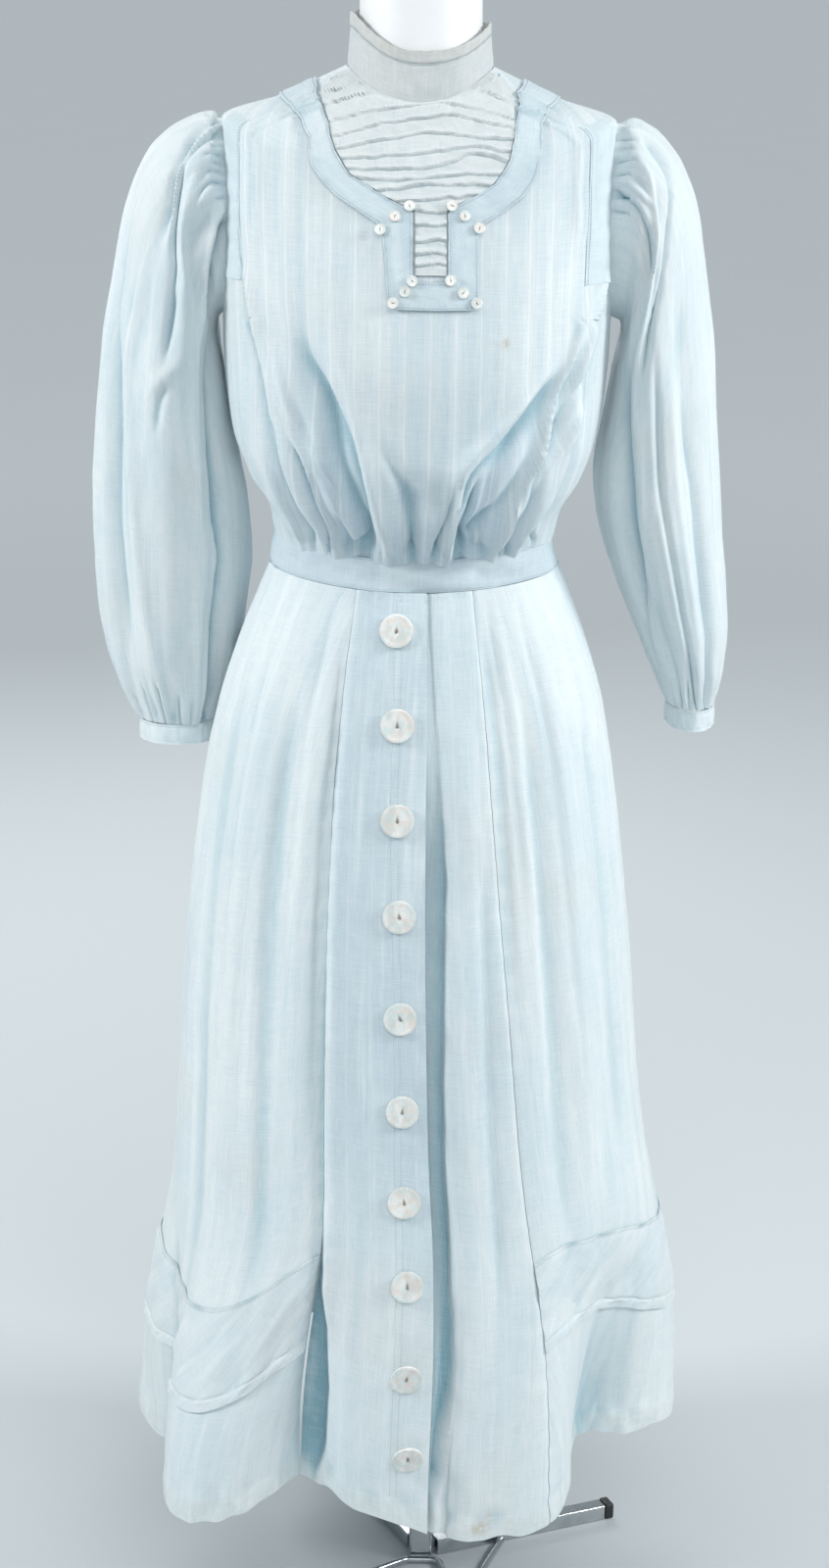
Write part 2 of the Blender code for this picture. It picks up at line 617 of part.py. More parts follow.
def sleeve_base(side, rows):
    """A sleeve, with the angle counted from its outer side round the front, and v from the armhole."""

    def shape(deg, v):
        deg, v = np.broadcast_arrays(np.asarray(deg, float), np.asarray(v, float))
        rings = [armhole_ring(side, deg)]
        for row in rows:
            outer_x, outer_z, inner_x, inner_z, mid_y, half_depth = row[1:]
            cosine, sine = np.cos(np.radians(deg)), np.sin(np.radians(deg))
            x = side * ((outer_x + inner_x) / 2 + (outer_x - inner_x) / 2 * cosine)
            z = (outer_z + inner_z) / 2 + (outer_z - inner_z) / 2 * cosine
            rings.append(np.stack([x, mid_y - half_depth * sine, z], -1))
        knots = np.array([0.0] + [row[0] for row in rows])
        stack = np.stack(rings)
        return np.stack([flow(v, knots, stack[..., axis]) for axis in range(3)], -1)

    return shape


def sleeve_relief(rows):
    def height(deg, v):
        pipes = np.cos(np.radians(SLEEVE_PIPE_COUNT * deg))
        cap = smooth(v / 0.05) * smooth((0.26 - v) / 0.18) * smooth((np.cos(np.radians(deg)) + 0.5) / 0.5)
        cuff = smooth((v - 0.82) / 0.12) * smooth((1.0 - v) / 0.04 + 0.35)
        return fold_height(rows, deg, v) + pipes * (CAP_PIPE_HEIGHT * cap + CUFF_PIPE_HEIGHT * cuff)

    return height


def collar(deg, w):
    """The stand collar, from the neck seam at 0 to its top edge at 1."""
    low = bodice_base(deg, np.ones_like(w)) + np.array([0.0, 0.0, KINKED_SEAM])
    x, y = oval(deg, COLLAR_SIDE_X, COLLAR_FRONT_Y, COLLAR_BACK_Y, 2.0)
    sine, cosine = np.sin(np.radians(deg)), np.cos(np.radians(deg))
    rise = np.where(cosine > 0, COLLAR_FRONT_RISE, COLLAR_BACK_RISE) * cosine ** 2
    z = COLLAR_SIDE_Z + rise - COLLAR_SIDE_TILT * sine
    wave = COLLAR_WAVE * np.sin(np.radians(5 * deg + 40))
    top = np.stack([x + MID_X, y, z + wave], -1)
    return low + (top - low) * w[..., None]


def waistband(deg, w):
    """The waistband, from the skirt's seam at 0 to the bodice's at 1."""
    low = skirt_base(deg, np.zeros_like(w)) + np.array([0.0, 0.0, SEAM])
    top = bodice_base(deg, np.zeros_like(w))
    waver = WAISTBAND_WAVE * np.sin(np.radians(3 * deg + 30)) * np.sin(math.pi * w)
    point = low + (top - low) * w[..., None]
    return point + np.stack([np.sin(np.radians(deg)), -np.cos(np.radians(deg)), 0 * w], -1) * waver[..., None]


def cuff(side, rows, bottom_z):
    """A narrow cuff, from its bottom edge at 0 to the sleeve's seam at 1."""
    sleeve = sleeve_base(side, rows)

    def shape(deg, w):
        top = sleeve(deg, np.ones_like(w)) - np.array([0.0, 0.0, KINKED_SEAM])
        low = top * np.array([1.0, 1.0, 0.0]) + np.array([0.0, 0.0, bottom_z])
        return low + (top - low) * w[..., None]

    return shape


# Meshes and materials


def material(name, color, roughness, metallic=0.0):
    """A plain Principled material, made once for each name."""
    found = bpy.data.materials.get(name)
    if found:
        return found
    made = bpy.data.materials.new(name)
    made.use_nodes = True
    principled = made.node_tree.nodes["Principled BSDF"]
    principled.inputs["Base Color"].default_value = (*color, 1.0)
    principled.inputs["Roughness"].default_value = roughness
    principled.inputs["Metallic"].default_value = metallic
    return made


def striped_cotton():
    return material("striped_cotton", (0.66, 0.76, 0.79), 0.85)


def plain_cotton():
    return material("plain_blue_cotton", (0.52, 0.67, 0.74), 0.85)


def white_cotton():
    return material("white_cotton", (0.84, 0.85, 0.84), 0.85)


def pearl():
    return material("pearl_shell", (0.90, 0.90, 0.86), 0.25)


def chrome():
    return material("chrome", (0.75, 0.77, 0.79), 0.12, 1.0)


def solid(name, points, faces, finish, location=(DRESS_X, DRESS_Y, 0.0)):
    """One closed body with its faces turned outwards."""
    mesh = bpy.data.meshes.new(name)
    work = bmesh.new()
    verts = [work.verts.new(point) for point in points]
    for face in faces:
        work.faces.new([verts[i] for i in face])
    bmesh.ops.recalc_face_normals(work, faces=work.faces)
    work.to_mesh(mesh)
    work.free()
    mesh.materials.append(finish)
    mesh.shade_smooth()
    mesh.set_sharp_from_angle(angle=math.radians(50))
    item = bpy.data.objects.new(name, mesh)
    item.location = location
    bpy.context.scene.collection.objects.link(item)
    return item


def wall(name, outer, inner, finish, closed=False):
    """A cloth wall between two grids of points, rows by columns. A closed one joins round its columns."""
    rows, cols = outer.shape[:2]
    points = np.concatenate([outer.reshape(-1, 3), inner.reshape(-1, 3)])

    def at(layer, i, j):
        return layer * rows * cols + i * cols + j % cols

    faces = []
    spans = cols if closed else cols - 1
    for i in range(rows - 1):
        for j in range(spans):
            faces.append([at(0, i, j), at(0, i, j + 1), at(0, i + 1, j + 1), at(0, i + 1, j)])
            faces.append([at(1, i, j), at(1, i + 1, j), at(1, i + 1, j + 1), at(1, i, j + 1)])
    for j in range(spans):
        for i in (0, rows - 1):
            faces.append([at(0, i, j), at(1, i, j), at(1, i, j + 1), at(0, i, j + 1)])
    if not closed:
        for i in range(rows - 1):
            for j in (0, cols - 1):
                faces.append([at(0, i, j), at(0, i + 1, j), at(1, i + 1, j), at(1, i, j)])
    return solid(name, points, faces, finish)


class Sheet:
    """A cut piece: a surface sampled on a grid of angles and places, with a wall thickness."""

    def __init__(self, surface, out, degs, places):
        self.degs, self.places = degs, places
        self.points = surface(degs, places)
        self.normals = normals(surface, degs, places) * out

    def make(self, name, finish, thickness=CLOTH, closed=False):
        half = self.normals * thickness / 2
        return wall(name, self.points + half, self.points - half, finish, closed)

    def layer(self, name, finish, rows, cols, thickness=TRIM_CLOTH):
        """A second piece of cloth laid on some of this one's cells."""
        low = CLOTH / 2 + LAY_ON
        points, normal = self.points[rows, cols], self.normals[rows, cols]
        return wall(name, points + normal * (low + thickness), points + normal * low, finish)

    def on_facets(self, deg, place):
        """The point and normal at an angle and a place, on the facets between the grid's points."""
        deg, place = np.broadcast_arrays(np.asarray(deg, float), np.asarray(place, float))
        points = np.empty(deg.shape + (3,))
        normal = np.empty(deg.shape + (3,))
        for index in np.ndindex(deg.shape):
            points[index], normal[index] = self._one(deg[index], place[index])
        return points, normal

    def _one(self, deg, place):
        cols = np.arange(self.places.shape[1])
        middle = self.places[:, len(cols) // 2]
        i = int(np.clip(np.searchsorted(middle, place, side="right") - 1, 0, len(middle) - 2))
        up = (place - middle[i]) / (middle[i + 1] - middle[i])
        marks = self.degs[i] * (1 - up) + self.degs[i + 1] * up
        j = int(np.clip(np.searchsorted(marks, deg, side="right") - 1, 0, len(cols) - 2))
        across = (deg - marks[j]) / (marks[j + 1] - marks[j])
        weights = ((1 - up) * (1 - across), (1 - up) * across, up * (1 - across), up * across)
        corners = ((i, j), (i, j + 1), (i + 1, j), (i + 1, j + 1))
        point = sum(w * self.points[c] for w, c in zip(weights, corners))
        normal = sum(w * self.normals[c] for w, c in zip(weights, corners))
        return point, normal / np.linalg.norm(normal)


def bridging(sheet, degs, places, points, normal):
    """The extra height that carries a laid piece's straight edges over the facets they cross."""
    extra = np.zeros(degs.shape)
    for first, second in ((np.s_[:-1, :], np.s_[1:, :]), (np.s_[:, :-1], np.s_[:, 1:])):
        for share in (0.2, 0.4, 0.6, 0.8):

            def between(values):
                return values[first] * (1 - share) + values[second] * share

            facet = sheet.on_facets(between(degs), between(places))[0]
            rise = ((facet - between(points)) * between(normal)).sum(-1)
            extra[first] = np.maximum(extra[first], rise)
            extra[second] = np.maximum(extra[second], rise)
    return extra


def laid_on(sheet, name, finish, degs, places, relief, thickness=TRIM_CLOTH):
    """A piece of cloth that lies on a sheet's outer side."""
    points, normal = sheet.on_facets(degs, places)
    low = CLOTH / 2 + YOKE_LAY_ON + bridging(sheet, degs, places, points, normal)
    outer = points + normal * (low + thickness + relief)[..., None]
    inner = points + normal * (low + TUCK_UNDERSIDE * relief)[..., None]
    return wall(name, outer, inner, finish)


def turned_disc(name, profile, sides, finish, place, normal):
    """A disc turned from radius and height pairs, with its axis along a normal."""
    axis = Vector(normal).normalized()
    spin = axis.to_track_quat("Z", "Y").to_matrix()
    points = []
    for radius, height in profile:
        for k in range(sides):
            angle = 2 * math.pi * k / sides
            points.append(spin @ Vector((radius * math.cos(angle), radius * math.sin(angle), height)))
    faces = []
    for ring in range(len(profile) - 1):
        for k in range(sides):
            low, high = ring * sides, (ring + 1) * sides
            step = (k + 1) % sides
            faces.append([low + k, low + step, high + step, high + k])
    faces.append(list(range(sides)))
    faces.append([(len(profile) - 1) * sides + k for k in range(sides)])
    spot = Vector(place) + Vector((DRESS_X, DRESS_Y, 0.0))
    return solid(name, points, faces, finish, spot)


def across_columns(low, high, count, crowd=0.0):
    """Angles from low to high. A positive crowd draws them towards the middle."""
    place = np.linspace(-1, 1, count + 1)
    eased = place * (1 - crowd + crowd * place ** 2)
    return low + (high - low) * (eased + 1) / 2


# The pieces


def make_bodice():
    s = np.array(BODICE_S)
    front_edge = np.array([side_edge(v, -ARMHOLE_FRONT_DEG) for v in s])
    back_edge = np.array([side_edge(v, ARMHOLE_BACK_DEG) for v in s])
    middle_gap = math.degrees(SEAM / 2 / 0.08)

    def grid(low, high, count, crowd=0.0):
        degs = np.array([across_columns(a, b, count, crowd) for a, b in zip(low, high)])
        return degs, np.repeat(s[:, None], count + 1, axis=1)

    def lifted(deg, place):
        return bodice(deg, place) + np.array([0.0, 0.0, KINKED_SEAM]) * (1 - smooth(place / 0.04))[..., None]

    front = Sheet(lifted, 1, *grid(-front_edge, front_edge, 48, 0.34))
    front.make("bodice_front", striped_cotton())
    right = Sheet(lifted, 1, *grid(back_edge, np.full_like(s, 180.0 - middle_gap), 11))
    right.make("bodice_back_right", striped_cotton())
    left = Sheet(lifted, 1, *grid(np.full_like(s, -180.0 + middle_gap), -back_edge, 11))
    left.make("bodice_back_left", striped_cotton())

    lap_s = s[1:-1]
    lap_columns = 180.0 + BACK_PLACKET_DEG * np.array([[-1.0, 0.0, 1.0]])
    lap_degs = np.repeat(lap_columns, len(lap_s), axis=0)
    lap = Sheet(lifted, 1, lap_degs, np.repeat(lap_s[:, None], 3, axis=1))
    lap.layer("back_placket", plain_cotton(), slice(None), slice(None))
    return front


def make_yoke(front):
    tucks = np.array(YOKE_TUCKS)
    between = (tucks[1:] + tucks[:-1]) / 2
    rows = np.sort(np.concatenate([[YOKE_BOTTOM_S], tucks, between, [YOKE_TOP_S]]))
    on_tuck = np.isin(rows, tucks)[:, None]
    left, right = read(YOKE_ROWS, YOKE_COLUMNS, rows, "left_deg", "right_deg")
    share = np.linspace(0, 1, 9)
    degs = (left + YOKE_EASE_DEG)[:, None] * (1 - share) + (right - YOKE_EASE_DEG)[:, None] * share
    places = np.repeat(rows[:, None], len(share), axis=1)
    waver = TUCK_WAVER * np.sin(np.radians(degs * 9 + places * 900)) * on_tuck
    relief = TUCK_HEIGHT * on_tuck * np.ones_like(degs)
    laid_on(front, "yoke", white_cotton(), degs, places + waver, relief)

    inner_deg, inner_s, outer_deg, outer_s = (
        column(YOKE_BAND_ROWS, YOKE_BAND_COLUMNS, key) for key in YOKE_BAND_COLUMNS
    )
    share = np.linspace(0, 1, 3)
    degs = inner_deg[:, None] * (1 - share) + outer_deg[:, None] * share
    places = inner_s[:, None] * (1 - share) + outer_s[:, None] * share
    laid_on(front, "yoke_band", plain_cotton(), degs, places, np.zeros_like(degs))

    s = np.array(ARMHOLE_STRIP_S)
    edge = np.minimum(side_edge(s, -ARMHOLE_FRONT_DEG) - 1.0, ARMHOLE_STRIP_END_DEG)
    share = np.linspace(0, 1, 3)
    for name, side, inner in (
        ("armhole_strip_left", -1, ARMHOLE_STRIP_LEFT_DEG),
        ("armhole_strip_right", 1, ARMHOLE_STRIP_RIGHT_DEG),
    ):
        degs = side * (inner * (1 - share) + edge[:, None] * share)
        places = np.repeat(s[:, None], 3, axis=1)
        laid_on(front, name, plain_cotton(), degs, places, np.zeros_like(degs))


def make_small_buttons(front):
    lift = CLOTH / 2 + YOKE_LAY_ON + TRIM_CLOTH + BUTTON_GAP
    radius = SMALL_BUTTON / 2
    profile = ((radius, 0.0), (radius, SMALL_BUTTON_THICK))
    for number, (deg, s, over_tuck) in enumerate(SMALL_BUTTON_ROWS, 1):
        point, normal = front.on_facets(deg, s)
        name = f"small_button_{number:02d}"
        turned_disc(name, profile, 10, pearl(), point + normal * (lift + over_tuck), normal)


def crossing(edge, row):
    """The angle at which a seam crosses a row of the skirt's grid."""
    deg = edge(0.5)
    for _ in range(5):
        deg = edge(skirt_depth(row, deg))
    return float(deg)


def make_skirt():
    rows = range(len(SKIRT_PARTS_ABOVE_BAND) + 4)
    half_gap = math.degrees(SEAM / 2 / 0.10)

    def seam(key, shift):
        return lambda t: read(SEAM_ROWS, SEAM_COLUMNS, t, key)[0] + shift

    def upright(deg):
        return lambda t: deg

    def gore(name, low, high, count, surface=skirt):
        degs = np.array([across_columns(crossing(low, row), crossing(high, row), count) for row in rows])
        places = np.array([skirt_depth(row, line) for row, line in zip(rows, degs)])
        sheet = Sheet(surface, -1, degs, places)
        sheet.make(name, striped_cotton())
        return sheet

    front_left = gore("skirt_front_left", seam("left_gore", half_gap), seam("free_edge", 0.0), 10)
    right_gore = seam("right_gore", -half_gap)
    gore("skirt_front_right", seam("free_edge", -LAP_DEG), right_gore, 11, skirt_under)
    back_seam = BACK_SEAM_DEG - half_gap
    side_left = gore("skirt_side_left", upright(-back_seam), seam("left_gore", -half_gap), 19)
    side_right = gore("skirt_side_right", seam("right_gore", half_gap), upright(back_seam), 19)
    back_seam = BACK_SEAM_DEG + half_gap
    back = gore("skirt_back", upright(back_seam), upright(360 - back_seam), 18)

    band_rows = slice(len(SKIRT_PARTS_ABOVE_BAND) - 1, len(SKIRT_PARTS_ABOVE_BAND) + 2)
    for label, sheet in (("left", side_left), ("right", side_right), ("back", back)):
        sheet.layer(f"bias_band_{label}", striped_cotton(), band_rows, slice(None))
    return front_left


def make_large_buttons(front_left):
    lift = CLOTH / 2 + BUTTON_GAP
    radius = LARGE_BUTTON / 2
    profile = (
        (radius - 0.0006, 0.0),
        (radius, LARGE_BUTTON_THICK * 0.55),
        (radius * 0.86, LARGE_BUTTON_THICK),
        (radius * 0.74, LARGE_BUTTON_THICK * 0.86),
    )
    for number, (deg, t) in enumerate(LARGE_BUTTON_ROWS, 1):
        point, normal = front_left.on_facets(deg, t)
        name = f"large_button_{number:02d}"
        turned_disc(name, profile, 16, pearl(), point + normal * lift, normal)


def make_rings():
    def ring_sheet(surface, count, places, out=1):
        degs = np.arange(count) * 360.0 / count - 180.0
        grid_places = np.repeat(np.array(places)[:, None], count, axis=1)
        return Sheet(surface, out, np.repeat(degs[None], len(places), axis=0), grid_places)

    below_split = COLLAR_SPLIT - SEAM / (COLLAR_SIDE_Z - TORSO_ROWS[-1][2])
    band = ring_sheet(collar, COLLAR_AROUND, (0.0, COLLAR_SPLIT / 2, below_split))
    band.make("collar", white_cotton(), closed=True)
    edge = ring_sheet(collar, COLLAR_AROUND, (COLLAR_SPLIT, 1.0))
    edge.make("collar_edge", white_cotton(), closed=True)
    belt = ring_sheet(waistband, WAISTBAND_AROUND, (0.0, 0.5, 1.0))
    belt.make("waistband", plain_cotton(), closed=True)
    for label, side, rows, folds, bottom_z in (
        ("left", -1, LEFT_SLEEVE_ROWS, LEFT_SLEEVE_FOLDS, LEFT_CUFF_BOTTOM_Z),
        ("right", 1, RIGHT_SLEEVE_ROWS, RIGHT_SLEEVE_FOLDS, RIGHT_CUFF_BOTTOM_Z),
    ):
        base = sleeve_base(side, rows)
        surface = raised(base, sleeve_relief(folds), side)
        sheet = ring_sheet(surface, SLEEVE_AROUND, SLEEVE_V, side)
        sheet.make(f"sleeve_{label}", striped_cotton(), closed=True)
        cuff_sheet = ring_sheet(cuff(side, rows, bottom_z), CUFF_AROUND, (0.0, 0.5, 1.0), -side)
        cuff_sheet.make(f"cuff_{label}", striped_cotton(), closed=True)


def make_form():
    count = FORM_AROUND
    degs = np.arange(count) * 360.0 / count - 180.0
    places = np.array([row[0] for row in FORM_ROWS])
    grid_degs, grid_places = np.meshgrid(degs, places)
    points = tilted_section(FORM_ROWS, FORM_COLUMNS, grid_places, grid_degs)
    faces = []
    for i in range(len(places) - 1):
        for j in range(count):
            step = (j + 1) % count
            faces.append([i * count + j, i * count + step, (i + 1) * count + step, (i + 1) * count + j])
    faces.append(list(range(count)))
    faces.append([(len(places) - 1) * count + j for j in range(count)])
    white = material("form_white", (0.86, 0.88, 0.89), 0.45)
    solid("dress_form", points.reshape(-1, 3), faces, white)


def block(name, size, centre, turn_deg, finish):
    """A box of a given size, turned about the upright axis."""
    corners = [(x, y, z) for x in (-0.5, 0.5) for y in (-0.5, 0.5) for z in (-0.5, 0.5)]
    points = [Vector(a * b for a, b in zip(corner, size)) for corner in corners]
    faces = [(0, 1, 3, 2), (4, 6, 7, 5), (0, 4, 5, 1), (2, 3, 7, 6), (0, 2, 6, 4), (1, 5, 7, 3)]
    item = solid(name, points, faces, finish, centre)
    item.rotation_euler = (0.0, 0.0, math.radians(turn_deg))
    return item


def make_stand():
    height = FORM_BOTTOM - STAND_GAP
    block("pole", (POLE_WIDTH, POLE_WIDTH, height), (0.0, 0.0, height / 2), 0.0, chrome())
    black = material("black_plastic", (0.02, 0.02, 0.022), 0.5)
    for label, turn in (("right", LEG_RIGHT_DEG), ("rear", LEG_REAR_DEG)):
        along = Vector((math.cos(math.radians(turn)), math.sin(math.radians(turn)), 0.0))
        length = LEG_REACH - LEG_START
        middle = along * (LEG_START + length / 2) + Vector((0.0, 0.0, LEG_HEIGHT / 2))
        block(f"leg_{label}", (length, LEG_WIDTH, LEG_HEIGHT), middle, turn, chrome())
        cap_middle = along * (LEG_REACH + STAND_GAP + CAP_LENGTH / 2)
        cap_middle.z = LEG_HEIGHT / 2 + CAP_WALL / 2
        cap_size = (CAP_LENGTH, LEG_WIDTH + 2 * CAP_WALL, LEG_HEIGHT + CAP_WALL)
        block(f"cap_{label}", cap_size, cap_middle, turn, black)

    marks = np.arange(len(ROD_ROWS), dtype=float)
    fine = np.linspace(0, len(ROD_ROWS) - 1, 2 * len(ROD_ROWS) - 1)
    path = np.stack([flow(fine, marks, column(ROD_ROWS, ROD_COLUMNS, key)) for key in ROD_COLUMNS], -1)
    curve = bpy.data.curves.new("foot_rod", "CURVE")
    curve.dimensions = "3D"
    curve.bevel_depth = FOOT_ROD / 2
    curve.bevel_resolution = 2
    curve.use_fill_caps = True
    spline = curve.splines.new("POLY")
    spline.points.add(len(path) - 1)
    for point, (x, y) in zip(spline.points, path):
        point.co = (x, y, FOOT_ROD / 2, 1.0)
    curve.materials.append(chrome())
    bpy.context.scene.collection.objects.link(bpy.data.objects.new("foot_rod", curve))


def main():
    for item in list(bpy.data.objects):
        bpy.data.objects.remove(item, do_unlink=True)
    front = make_bodice()
    make_yoke(front)
    make_small_buttons(front)
    make_rings()
    front_left = make_skirt()
    make_large_buttons(front_left)
    make_form()
    make_stand()


main()
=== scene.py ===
"""The looks of a prairie dress of about 1905 on a limbless dress form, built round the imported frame.

Metres, +Z up. The tables give the dress in its own frame, whose middle is at DRESS_X, DRESS_Y.
"""

import math

import bpy
import numpy as np
from mathutils import Matrix, Vector


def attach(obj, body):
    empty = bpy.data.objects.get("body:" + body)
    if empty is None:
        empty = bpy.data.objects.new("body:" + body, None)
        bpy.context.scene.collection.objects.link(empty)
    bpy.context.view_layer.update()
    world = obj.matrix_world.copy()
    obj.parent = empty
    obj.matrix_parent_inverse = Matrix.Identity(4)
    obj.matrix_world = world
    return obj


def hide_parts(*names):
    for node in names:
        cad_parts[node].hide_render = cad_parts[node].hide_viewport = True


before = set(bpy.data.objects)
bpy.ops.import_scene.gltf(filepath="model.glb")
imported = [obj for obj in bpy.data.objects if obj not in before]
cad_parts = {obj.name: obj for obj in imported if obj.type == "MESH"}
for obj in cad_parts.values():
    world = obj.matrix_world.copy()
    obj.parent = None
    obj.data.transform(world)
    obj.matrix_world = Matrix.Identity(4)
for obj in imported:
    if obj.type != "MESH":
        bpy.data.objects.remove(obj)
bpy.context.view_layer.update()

# Driving dimensions, in metres

SHELL = 0.0009
SEAM = 0.0004
STAND_GAP = 0.0003
KINKED_SEAM = 0.0010

DRESS_X = -0.0155
DRESS_Y = -0.0180
MID_X = -0.003
DRESS_PLACE = np.array([DRESS_X, DRESS_Y, 0.0])

HEM_LEVEL = 0.148
SKIRT_LENGTH = 0.82
SKIRT_TOP_LEVEL = 0.985
WAIST_DIP = 0.008
COLLAR_SPLIT = 0.76
COLLAR_SIDE_X = 0.0572
COLLAR_FRONT_Y = -0.0550
COLLAR_BACK_Y = 0.0460
COLLAR_SIDE_Z = 1.4420
COLLAR_FRONT_RISE = -0.0265
COLLAR_BACK_RISE = 0.0100
COLLAR_SIDE_TILT = 0.0045
COLLAR_WAVE = 0.0010
WAISTBAND_WAVE = 0.0012
LARGE_BUTTON = 0.0286
LARGE_BUTTON_THICK = 0.0030
SMALL_BUTTON = 0.0090
SMALL_BUTTON_THICK = 0.0020
BUTTON_GAP = 0.0007

POLE_WIDTH = 0.022
FORM_BOTTOM = 0.800
LEG_WIDTH = 0.015
LEG_HEIGHT = 0.015
LEG_START = 0.0151
LEG_REACH = 0.196
LEG_RIGHT_DEG = 22.7
LEG_REAR_DEG = 116.0
CAP_LENGTH = 0.009
CAP_WALL = 0.0008
FOOT_ROD = 0.0070

# The bodice's sections: s runs from the waist seam at 0 to the neck seam at 1

TORSO_COLUMNS = ("s", "side_x", "side_z", "front_y", "front_z", "back_y", "back_z", "square")
TORSO_ROWS = (
    (0.00, 0.1205, 1.0130, -0.0930, 1.0040, 0.0800, 1.0110, 2.0),
    (0.08, 0.1255, 1.0350, -0.1180, 1.0180, 0.0900, 1.0320, 2.0),
    (0.18, 0.1430, 1.0650, -0.1400, 1.0480, 0.0960, 1.0650, 2.1),
    (0.30, 0.1535, 1.1000, -0.1510, 1.0950, 0.0980, 1.1050, 2.2),
    (0.42, 0.1585, 1.1500, -0.1520, 1.1500, 0.0990, 1.1550, 2.2),
    (0.54, 0.1630, 1.2000, -0.1450, 1.2050, 0.1000, 1.2100, 2.2),
    (0.64, 0.1640, 1.2550, -0.1310, 1.2520, 0.0990, 1.2620, 2.2),
    (0.74, 0.1640, 1.3100, -0.1130, 1.2920, 0.0930, 1.3120, 2.2),
    (0.82, 0.1650, 1.3580, -0.0960, 1.3220, 0.0820, 1.3480, 2.2),
    (0.91, 0.1130, 1.3790, -0.0750, 1.3510, 0.0640, 1.3830, 2.1),
    (1.00, 0.0600, 1.4030, -0.0600, 1.3760, 0.0480, 1.4110, 2.0),
)
UNDERARM_S = 0.54
SHOULDER_S = 0.82
ARMHOLE_FRONT_DEG = 16.0
ARMHOLE_BACK_DEG = 22.0

# Folds: the angles and the places of both ends, the height, and the width in degrees. A trough has a
# negative height, and angles are 0 at the front and grow towards +X

FRONT_FOLDS = (
    (-16.0, -28.0, 0.00, 0.50, -0.0075, 3.6),
    (-9.0, -19.0, 0.00, 0.50, -0.0050, 3.2),
    (-22.0, -33.0, 0.02, 0.42, 0.0045, 3.6),
    (-30.0, -40.0, 0.01, 0.44, -0.0040, 3.6),
    (-44.0, -53.0, 0.02, 0.56, -0.0060, 4.0),
    (-37.0, -46.0, 0.02, 0.40, 0.0040, 3.8),
    (-57.0, -62.0, 0.02, 0.50, 0.0045, 5.0),
    (-2.0, -3.0, 0.00, 0.30, -0.0040, 3.0),
    (4.0, 4.0, 0.01, 0.24, 0.0035, 3.0),
    (10.0, 12.0, 0.00, 0.30, -0.0045, 3.0),
    (16.0, 20.0, 0.01, 0.34, 0.0040, 3.2),
    (20.0, 48.0, 0.02, 0.46, -0.0080, 4.2),
    (30.0, 46.0, 0.02, 0.40, 0.0045, 3.6),
    (38.0, 54.0, 0.02, 0.52, -0.0055, 3.8),
    (46.0, 60.0, 0.04, 0.66, 0.0045, 4.0),
    (54.0, 66.0, 0.03, 0.60, -0.0050, 4.0),
    (-57.0, -56.0, 0.62, 1.02, 0.0022, 3.4),
    (-49.0, -49.0, 0.64, 1.02, 0.0020, 3.0),
    (50.0, 50.0, 0.64, 1.02, 0.0020, 3.0),
    (58.0, 57.0, 0.62, 1.02, 0.0022, 3.4),
)
BACK_FOLDS = (
    (167.0, 160.0, 0.00, 0.46, -0.0050, 4.0),
    (157.0, 148.0, 0.00, 0.42, 0.0040, 4.0),
    (147.0, 138.0, 0.01, 0.44, -0.0045, 4.0),
    (134.0, 126.0, 0.02, 0.38, 0.0035, 5.0),
    (120.0, 116.0, 0.03, 0.46, -0.0035, 5.0),
)

# The skirt's sections: t runs from the waist seam at 0 to the hem at 1

SKIRT_COLUMNS = ("level", "mid_x", "side_x", "front_y", "back_y", "square")
SKIRT_ROWS = (
    (0.985, -0.0030, 0.1250, -0.0960, 0.0850, 2.00),
    (0.968, -0.0030, 0.1320, -0.1020, 0.0930, 2.00),
    (0.917, -0.0035, 0.1515, -0.1150, 0.1200, 2.05),
    (0.864, -0.0040, 0.1675, -0.1270, 0.1400, 2.10),
    (0.810, -0.0050, 0.1780, -0.1360, 0.1550, 2.15),
    (0.728, -0.0052, 0.1895, -0.1470, 0.1700, 2.20),
    (0.617, -0.0040, 0.2005, -0.1600, 0.1880, 2.25),
    (0.503, -0.0015, 0.2085, -0.1710, 0.2040, 2.30),
    (0.386, 0.0035, 0.2200, -0.1830, 0.2200, 2.35),
    (0.266, 0.0060, 0.2345, -0.1940, 0.2350, 2.40),
    (0.148, 0.0000, 0.2515, -0.2020, 0.2450, 2.40),
)

# The hem as it hangs, seen from above, with its height over the floor

